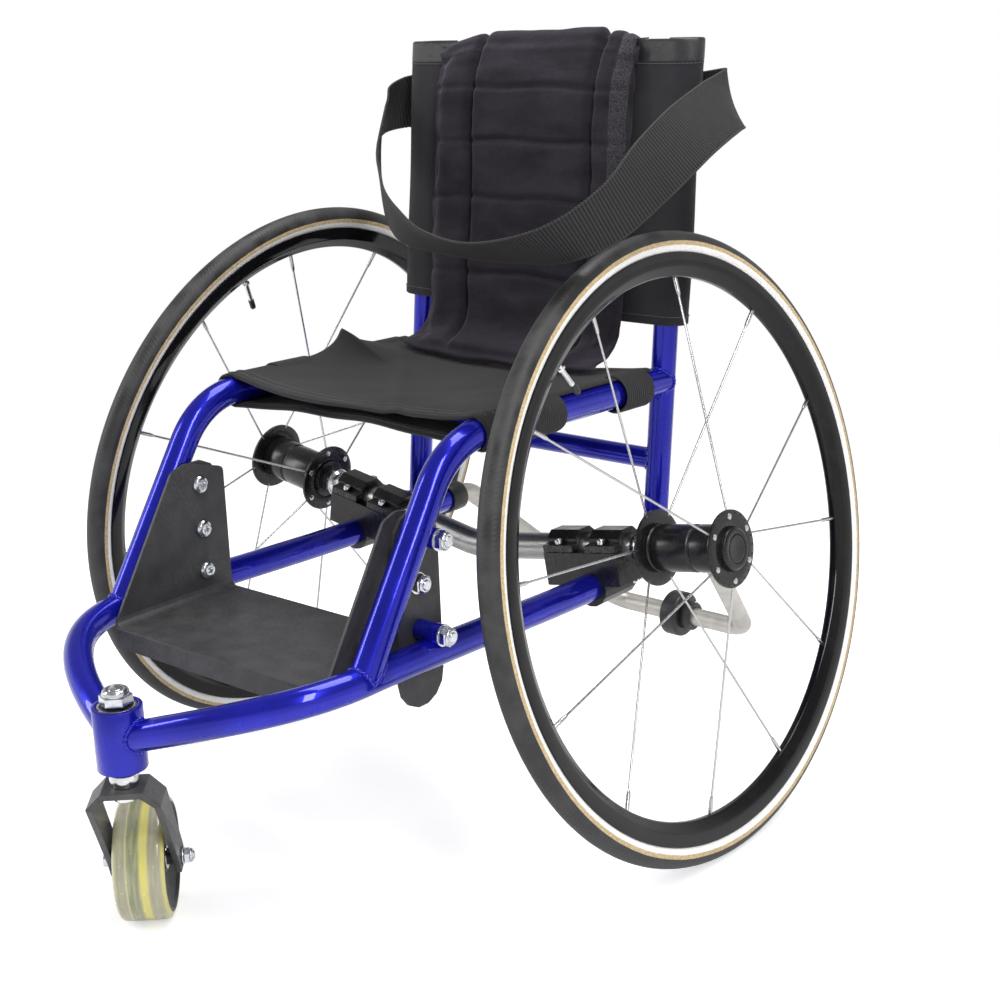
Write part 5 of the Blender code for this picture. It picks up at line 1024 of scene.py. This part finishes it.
# Back
def back_place(u, v):
    """Round each post in a sleeve and flat between them; the top edge dips in the middle."""
    side = np.where(u < 0.5, -1.0, 1.0)
    hem, wrap = 0.14, 0.36
    out = 1 - np.abs(2 * u - 1)
    in_hem, in_sleeve = out < hem, out < wrap
    turn = radians(90) - pi * np.clip((out - hem) / (wrap - hem), 0, 1)
    x_hem = 0.142 + (HALF_WIDTH - 0.142) * np.clip(out / hem, 0, 1)
    x_front = HALF_WIDTH * (1 - np.clip((out - wrap) / (1 - wrap), 0, 1))
    x = np.where(in_hem, x_hem, np.where(in_sleeve, HALF_WIDTH + SLEEVE_REACH * np.cos(turn), x_front))
    depth = np.where(in_hem, SLEEVE_DEPTH, np.where(in_sleeve, SLEEVE_DEPTH * np.sin(turn), -SLEEVE_DEPTH))
    dip = 0.010 * smoothstep((0.11 - np.abs(x)) / 0.05) * (depth < 0)
    skew = 0.004 * np.sin(side * 2 + x * 20)
    height = BACK_LOW + 0.001 + v * (BACK_TOP - 0.001 - dip - BACK_LOW) + (1 - v) * np.maximum(skew, 0)
    wave = 0.0012 * np.sin(height * 34 + side) * np.sin(np.clip(out / wrap, 0, 1) * pi)
    return np.stack([side * x, post_y(height) + depth + wave, height], -1)


def build_back():
    rows = 110
    total = 0.56

    def thick(u, v):
        return SLING * (0.8 + 0.35 * smoothstep((v - 0.925) / 0.004) + 0.35 * smoothstep((0.035 - v) / 0.004))

    shape, uv, points, normal, half = sheet_shape(back_place, 240, rows, thick, (total, 0.279))
    back = piece("back_cloth", shape, canvas, "frame", ("back_sling",), uv=uv, sharp=60)
    back.data.materials.append(shiny_band.material)
    for face in back.data.polygons:
        if face.center.z > BACK_TOP - 0.0195:
            face.material_index = 1
    seams = []
    for j in (round(share * rows) for share in (0.915, 0.028)):
        for sign in (1, -1):
            seams.append(stitches(points[j] + sign * normal[j] * half[j][:, None], sign * normal[j]))
    piece("back_stitching", merged(*seams), thread)


# Back cushion
CUSHION_HALF = 0.136
CUSHION_TOP = 0.7875
CUSHION_LOW = 0.505
CUSHION_THICK = 0.022
HOOK_HALF = 0.0055
TOE_REACH = 0.055
SEAMS = (0.729, 0.674, 0.615, 0.536)
FOLDS = (0.070, 0.088)
GAP = 0.0005
SLING_FACE = SLING / 2 + 0.0004


def cushion_toe():
    """Where the cushion's lower edge lies on the seat."""
    return post_y(CUSHION_LOW) - SLEEVE_DEPTH - SLING_FACE - CUSHION_THICK / 2 - GAP - TOE_REACH


def toe_seat():
    """Height of the seat under the higher corner of the cushion's lower edge."""
    return float(max(seat_height(np.array(s * CUSHION_HALF), np.array(cushion_toe())) for s in (-1, 1)))


def cushion_rings():
    """Middle of the cushion, over the top of the sling and down to the seat: (y, z, thickness)."""
    front = -SLEEVE_DEPTH - SLING_FACE
    hook = -SLEEVE_DEPTH + SLING_FACE + HOOK_HALF + GAP
    thin = front - HOOK_HALF - GAP
    reach = (hook - thin) / 2
    crown = CUSHION_TOP - HOOK_HALF - reach
    start = crown - 0.004
    line = [(hook, z, 0.010) for z in np.linspace(0.754, start, 6)]
    line += [(offset, height, 0.010) for offset, height in arc((thin + reach, crown), reach, 0, pi, 14)]
    for i in range(70):
        thick = 0.011 + 0.011 * smoothstep(i / 14)
        line.append((front - thick / 2 - GAP, start + (CUSHION_LOW - start) * i / 69, thick))
    places = [(post_y(height) + offset, height, thick) for offset, height, thick in line]
    toe_y = cushion_toe()
    toe_z = toe_seat() + 0.0022
    y = toe_y + TOE_REACH
    bend = bezier(((0, y, CUSHION_LOW), (0, y - 0.004, 0.473), (0, toe_y + 0.040, toe_z + 0.014),
                   (0, toe_y, toe_z + 0.0085)), 22)
    for i, point in enumerate(bend[1:]):
        places.append((point.y, point.z, CUSHION_THICK + (0.0125 - CUSHION_THICK) * (i + 1) / 22))
    return places


def cushion_shape():
    x = np.linspace(-1, 1, 57) * CUSHION_HALF
    edge = 0.16 + 0.32 * smoothstep((CUSHION_HALF - np.abs(x)) / 0.030)
    places = cushion_rings()
    rings = []
    for i, (y, z, thick) in enumerate(places):
        before, after = places[max(i - 1, 0)], places[min(i + 1, len(places) - 1)]
        along = Vector((0, after[0] - before[0], after[1] - before[1])).normalized()
        row = np.array((0, y, z)) + x[:, None] * np.array((1, 0, 0))
        off = np.array((0, along.z, -along.y)) * (thick * edge)[:, None]
        rings.append(np.concatenate([row + off, (row - off)[::-1]]))
    rings = np.array(rings)
    count, wide = rings.shape[:2]
    faces = []
    for i in range(count - 1):
        faces += band(i * wide, (i + 1) * wide, wide)
    for row in (0, (count - 1) * wide):
        last = row + wide - 1
        faces += [(row + j, row + j + 1, last - 1 - j, last - j) for j in range(wide // 2 - 1)]
    return rings.reshape(-1, 3), faces


def vertex_rows(mesh, key="co"):
    values = np.empty(len(mesh.vertices) * 3, np.float32)
    mesh.vertices.foreach_get(key, values)
    return values.reshape(-1, 3).astype(float)


def set_points(mesh, points):
    mesh.vertices.foreach_set("co", np.asarray(points, np.float32).ravel())
    mesh.update()


def evaluated(obj):
    bpy.context.view_layer.update()
    depsgraph = bpy.context.evaluated_depsgraph_get()
    return bpy.data.meshes.new_from_object(obj.evaluated_get(depsgraph))


def inflated(obj, frames=18, furthest=0.006):
    """Cloth under air pressure on a remeshed copy, with a limit to how far a point may move."""
    remesh = obj.modifiers.new("even", "REMESH")
    remesh.mode = "VOXEL"
    remesh.voxel_size = 0.005
    obj.data = evaluated(obj)
    obj.modifiers.clear()
    start = vertex_rows(obj.data)
    cloth = obj.modifiers.new("cloth", "CLOTH").settings
    cloth.quality = 4
    cloth.mass = 0.3
    cloth.use_pressure = True
    cloth.uniform_pressure_force = 4.0
    cloth.tension_stiffness = 12
    cloth.compression_stiffness = 12
    cloth.bending_stiffness = 0.6
    cloth.effector_weights.gravity = 0
    scene = bpy.context.scene
    for step in range(1, frames + 1):
        scene.frame_set(step)
    shift = vertex_rows(evaluated(obj)) - start
    obj.modifiers.clear()
    scene.frame_set(1)
    length = np.linalg.norm(shift, axis=1)
    return start, shift * np.minimum(1.0, furthest / np.maximum(length, 1e-9))[:, None]


def hills(points, scale, seed):
    """Smooth uneven waves for cloth, from a few fixed sines."""
    rng = np.random.default_rng(seed)
    total = np.zeros(len(points))
    for _ in range(9):
        direction = unit(rng.normal(size=3))
        total += np.sin(points @ direction * scale * rng.uniform(0.6, 1.7) + rng.uniform(0, tau))
    return total / 4


def quilted(co, normals):
    """The cushion's points moved along their normals for folds, seams, bulges and wrinkles."""
    x, y, z = co.T
    front = smoothstep((-normals[:, 1] - 0.1) / 0.5)
    face = np.maximum(front, smoothstep((z - 0.765) / 0.015))
    wander = 0.0015 * np.sin(z * 33 + 0.5) + 0.0008 * np.sin(z * 90)
    fold = np.zeros(len(co))
    for place, width, depth in ((-FOLDS[0], 0.0050, 0.0095), (FOLDS[1], 0.0042, 0.0085),
                                (0.1260, 0.0030, 0.0022), (0.1100, 0.0026, 0.0016)):
        fold += hump(x - place - wander, width) * depth
    centre = smoothstep((x + FOLDS[0]) / 0.010) * smoothstep((FOLDS[1] - x) / 0.010)
    seam = np.zeros(len(co))
    for height in SEAMS:
        dip = height - 0.004 * (x / CUSHION_HALF) ** 2 + 0.0012 * np.sin(x * 52 + height * 60)
        seam += hump(z - dip, 0.0028)
    depth = fold + seam * (0.0030 * centre + 0.0016 * (1 - centre))
    bulge = 0.0012 * centre * (1 - np.minimum(seam, 1))
    bulge += 0.0020 * smoothstep((x + FOLDS[0]) / 0.006) * np.exp(-np.maximum(x + FOLDS[0], 0) / 0.02)
    wrinkle = 0.0010 * hills(co * (1, 1, 1.7), 50, 3) + 0.0007 * hills(co * (1, 1, 2.0), 130, 5)
    move = (bulge + wrinkle - depth) * face * smoothstep((z - 0.462) / 0.02)
    return co + normals * move[:, None]


def settled(co):
    """The cushion's points with an uneven top edge, lowered onto the seat's sag."""
    x, y, z = co.T
    high = np.clip((z - 0.745) / 0.0425, 0, 1)
    lower = 0.003 + 0.011 * smoothstep((-x - 0.066) / 0.060) + 0.003 * smoothstep((x - 0.100) / 0.03)
    lower -= 0.003 * smoothstep((x - 0.02) / 0.06) * smoothstep((0.100 - x) / 0.02)
    z = np.minimum(z - lower * high, 0.7885)
    sag = seat_height(x, np.minimum(y, cushion_toe() + 0.03)) - toe_seat()
    z = z + np.minimum(sag, 0) * smoothstep((0.512 - z) / 0.045)
    return np.stack([x, y, z], -1)


def build_cushion():
    obj = piece("cushion_cover", cushion_shape(), velvet, "frame", ("back_cushion",), sharp=70)
    start, shift = inflated(obj)
    lean = np.array((0, cos(LEAN), -sin(LEAN)))
    back = shift @ lean
    facing_back = (back > 0) & (start[:, 2] < 0.770)
    shift[facing_back] -= back[facing_back, None] * lean
    shift[start[:, 2] > 0.770] *= 0.3
    set_points(obj.data, start + shift)
    obj.modifiers.new("fine", "SUBSURF").levels = 1
    obj.data = evaluated(obj)
    obj.modifiers.clear()
    mesh = obj.data
    mesh.materials.clear()
    mesh.materials.append(velvet.material)
    set_points(mesh, settled(quilted(vertex_rows(mesh), vertex_rows(mesh, "normal"))))
    mesh.shade_smooth()


# Chest strap
def strap_route(stations):
    """Points along the strap with their swing in degrees, and the strap's length."""
    end_y = post_y(STRAP_END[1]) + SLEEVE_DEPTH + SLING_FACE + STRAP_THICKNESS / 2
    ends = [(sign * STRAP_END[0], end_y, STRAP_END[1], degrees(LEAN)) for sign in (-1, 1)]
    knots = [ends[0]] + [(x, AXLE_Y + dy, z, swing) for x, dy, z, swing in STRAP_ROUTE] + [ends[1]]
    places = np.array(knots)
    fine = []
    for i in range(len(places) - 1):
        a, b, c, d = (places[min(max(k, 0), len(places) - 1)] for k in (i - 1, i, i + 1, i + 2))
        for t in np.arange(24) / 24:
            fine.append(0.5 * (2 * b + (c - a) * t + (2 * a - 5 * b + 4 * c - d) * t**2
                               + (3 * b - a - 3 * c + d) * t**3))
    fine = np.array(fine + [places[-1]])
    runs = run_lengths(fine[:, :3])
    return on_line(np.linspace(0, runs[-1], stations + 1), runs, fine), runs[-1]


def build_strap():
    stations = 1430
    route, length = strap_route(stations)
    centre = route[:, :3]
    along = unit(np.gradient(centre, axis=0))
    down = unit(np.array((0, 0, -1.0)) + along * along[:, 2:3])
    swing = np.radians(route[:, 3])[:, None]
    across = np.cos(swing) * down + np.sin(swing) * np.cross(along, down)

    def place(u, v):
        k = np.round(v * stations).astype(int)
        return centre[k] + across[k] * ((u - 0.5) * STRAP_WIDTH)[..., None]

    def ribs(u, v):
        return STRAP_THICKNESS * (0.70 + 0.24 * np.cos(v * length * tau / RIB_PITCH))

    shape, uv, *_ = sheet_shape(place, 14, stations, ribs, (STRAP_WIDTH, length))
    strap = piece("strap_webbing", shape, webbing, "frame", ("chest_strap",), uv=uv, sharp=60)
    ripple = 0.00125 + 0.00030 * np.cos(np.linspace(0, length, stations + 1) * tau / RIB_PITCH)
    edges = [sweep(centre + across * sign * (STRAP_WIDTH / 2 - 0.0007), ripple, 6) for sign in (-1, 1)]
    piece("strap_selvedge", merged(*edges), webbing, sharp=60)
    normal = np.cross(across, along)
    seams = []
    for part in (slice(12, 52), slice(stations - 52, stations - 12)):
        for offset in (-0.020, 0.020):
            for out in (normal[part], -normal[part]):
                seams.append(stitches(centre[part] + across[part] * offset + out * 0.0011, out))
    piece("strap_stitching", merged(*seams), thread)


# Camera, light and floor
FLOOR_LIFT = 0.50
WHITE = (1, 1, 1, 1)


def build_camera():
    yaw, pitch, roll = radians(41.18), radians(15.90), radians(2.27)
    back = Vector((sin(yaw) * cos(pitch), -cos(yaw) * cos(pitch), sin(pitch)))
    right = (-back).cross(Vector((0, 0, 1))).normalized()
    down = (-back).cross(right)
    across = cos(roll) * right + sin(roll) * down
    up = sin(roll) * right - cos(roll) * down
    turn = Matrix((across, up, back)).transposed().to_4x4()
    data = bpy.data.cameras.new("camera")
    data.sensor_width = 36
    data.lens = 36 * 1735.1 / 1000
    data.shift_x = (500 - 477.6) / 1000
    data.shift_y = (481.4 - 500) / 1000
    data.clip_end = 50
    place = Matrix.Translation((1.1636, -1.3314 + AXLE_Y, 0.8292)) @ turn
    bpy.context.scene.camera = linked("camera", data, place)


def area_light(name, location, target, size, power):
    data = bpy.data.lights.new(name, "AREA")
    data.shape = "RECTANGLE"
    data.size, data.size_y = size
    data.energy = power
    turn = (Vector(target) - Vector(location)).to_track_quat("-Z", "Y")
    linked(name, data, Matrix.Translation(location) @ turn.to_matrix().to_4x4())


def build_world():
    """White where the camera looks; for reflections it darkens overhead like a studio ceiling."""
    world = bpy.data.worlds.new("studio")
    bpy.context.scene.world = world
    nodes = Nodes(world)
    ambient = nodes.tree.nodes["Background"]
    ambient.inputs[0].default_value = WHITE
    ambient.inputs[1].default_value = 0.60
    path = nodes.node("LightPath").outputs
    mirror = nodes.larger(path["Is Camera Ray"], path["Is Glossy Ray"])
    seen = nodes.larger(mirror, path["Is Transmission Ray"])
    room = nodes.spread(nodes.axes("Generated")[2], 0.10, 0.50, 0.95, 0.30, smooth=True)
    shown = nodes.node("Background", WHITE, nodes.larger(room, path["Is Camera Ray"]))
    mix = nodes.node("MixShader", seen, ambient.outputs[0], shown.outputs[0])
    nodes.fill(nodes.tree.nodes["World Output"].inputs["Surface"], mix.outputs[0])


def build_floor():
    """Pale floor that keeps the shadow near the chair and is pure white further out."""
    reach = 6
    mesh = bpy.data.meshes.new("floor")
    corners = [(-reach, -reach, 0), (reach, -reach, 0), (reach, reach, 0), (-reach, reach, 0)]
    mesh.from_pydata(corners, [], [(0, 1, 2, 3)])
    floor = linked("floor", mesh)
    floor.location.z = -0.0008
    look = bpy.data.materials.new("floor")
    nodes = Nodes(look)
    shader = nodes.tree.nodes["Principled BSDF"]
    shader.inputs["Base Color"].default_value = (0.86, 0.86, 0.87, 1)
    shader.inputs["Roughness"].default_value = 0.7
    shader.inputs["Specular IOR Level"].default_value = 0.2
    path = nodes.node("LightPath").outputs
    straight = nodes.larger(path["Is Camera Ray"], path["Is Transmission Ray"])
    seen = nodes.larger(straight, nodes.times(path["Is Glossy Ray"], 0.25))
    lift = nodes.node("Emission", None, nodes.times(seen, FLOOR_LIFT))
    lit = nodes.node("AddShader", shader.outputs[0], lift.outputs[0])
    away = nodes.node("VectorMath", nodes.coords(), operation="LENGTH").outputs["Value"]
    far = nodes.times(nodes.spread(away, 0.75, 1.7, smooth=True), seen)
    mix = nodes.node("MixShader", far, lit.outputs[0], nodes.node("Emission").outputs[0])
    nodes.fill(nodes.tree.nodes["Material Output"].inputs["Surface"], mix.outputs[0])
    mesh.materials.append(look)


def build_stage():
    build_world()
    area_light("key", (1.5, -0.9, 1.9), (0, 0, 0.4), (0.35, 1.7), 26)
    area_light("fill", (-2.0, -1.6, 1.5), (0, 0, 0.4), (0.5, 1.6), 20)
    area_light("top", (0.1, 0.4, 2.4), (0, 0, 0.3), (1.6, 0.9), 30)
    build_floor()
    bpy.context.scene.view_settings.view_transform = "Standard"


build_camera()
build_frame()
build_caster()
build_footplate()
build_axle()
for wheel_label, wheel_side in SIDES:
    build_wheel(wheel_label, wheel_side)
build_anti_tip()
build_seat()
build_back()
build_cushion()
build_strap()
build_stage()
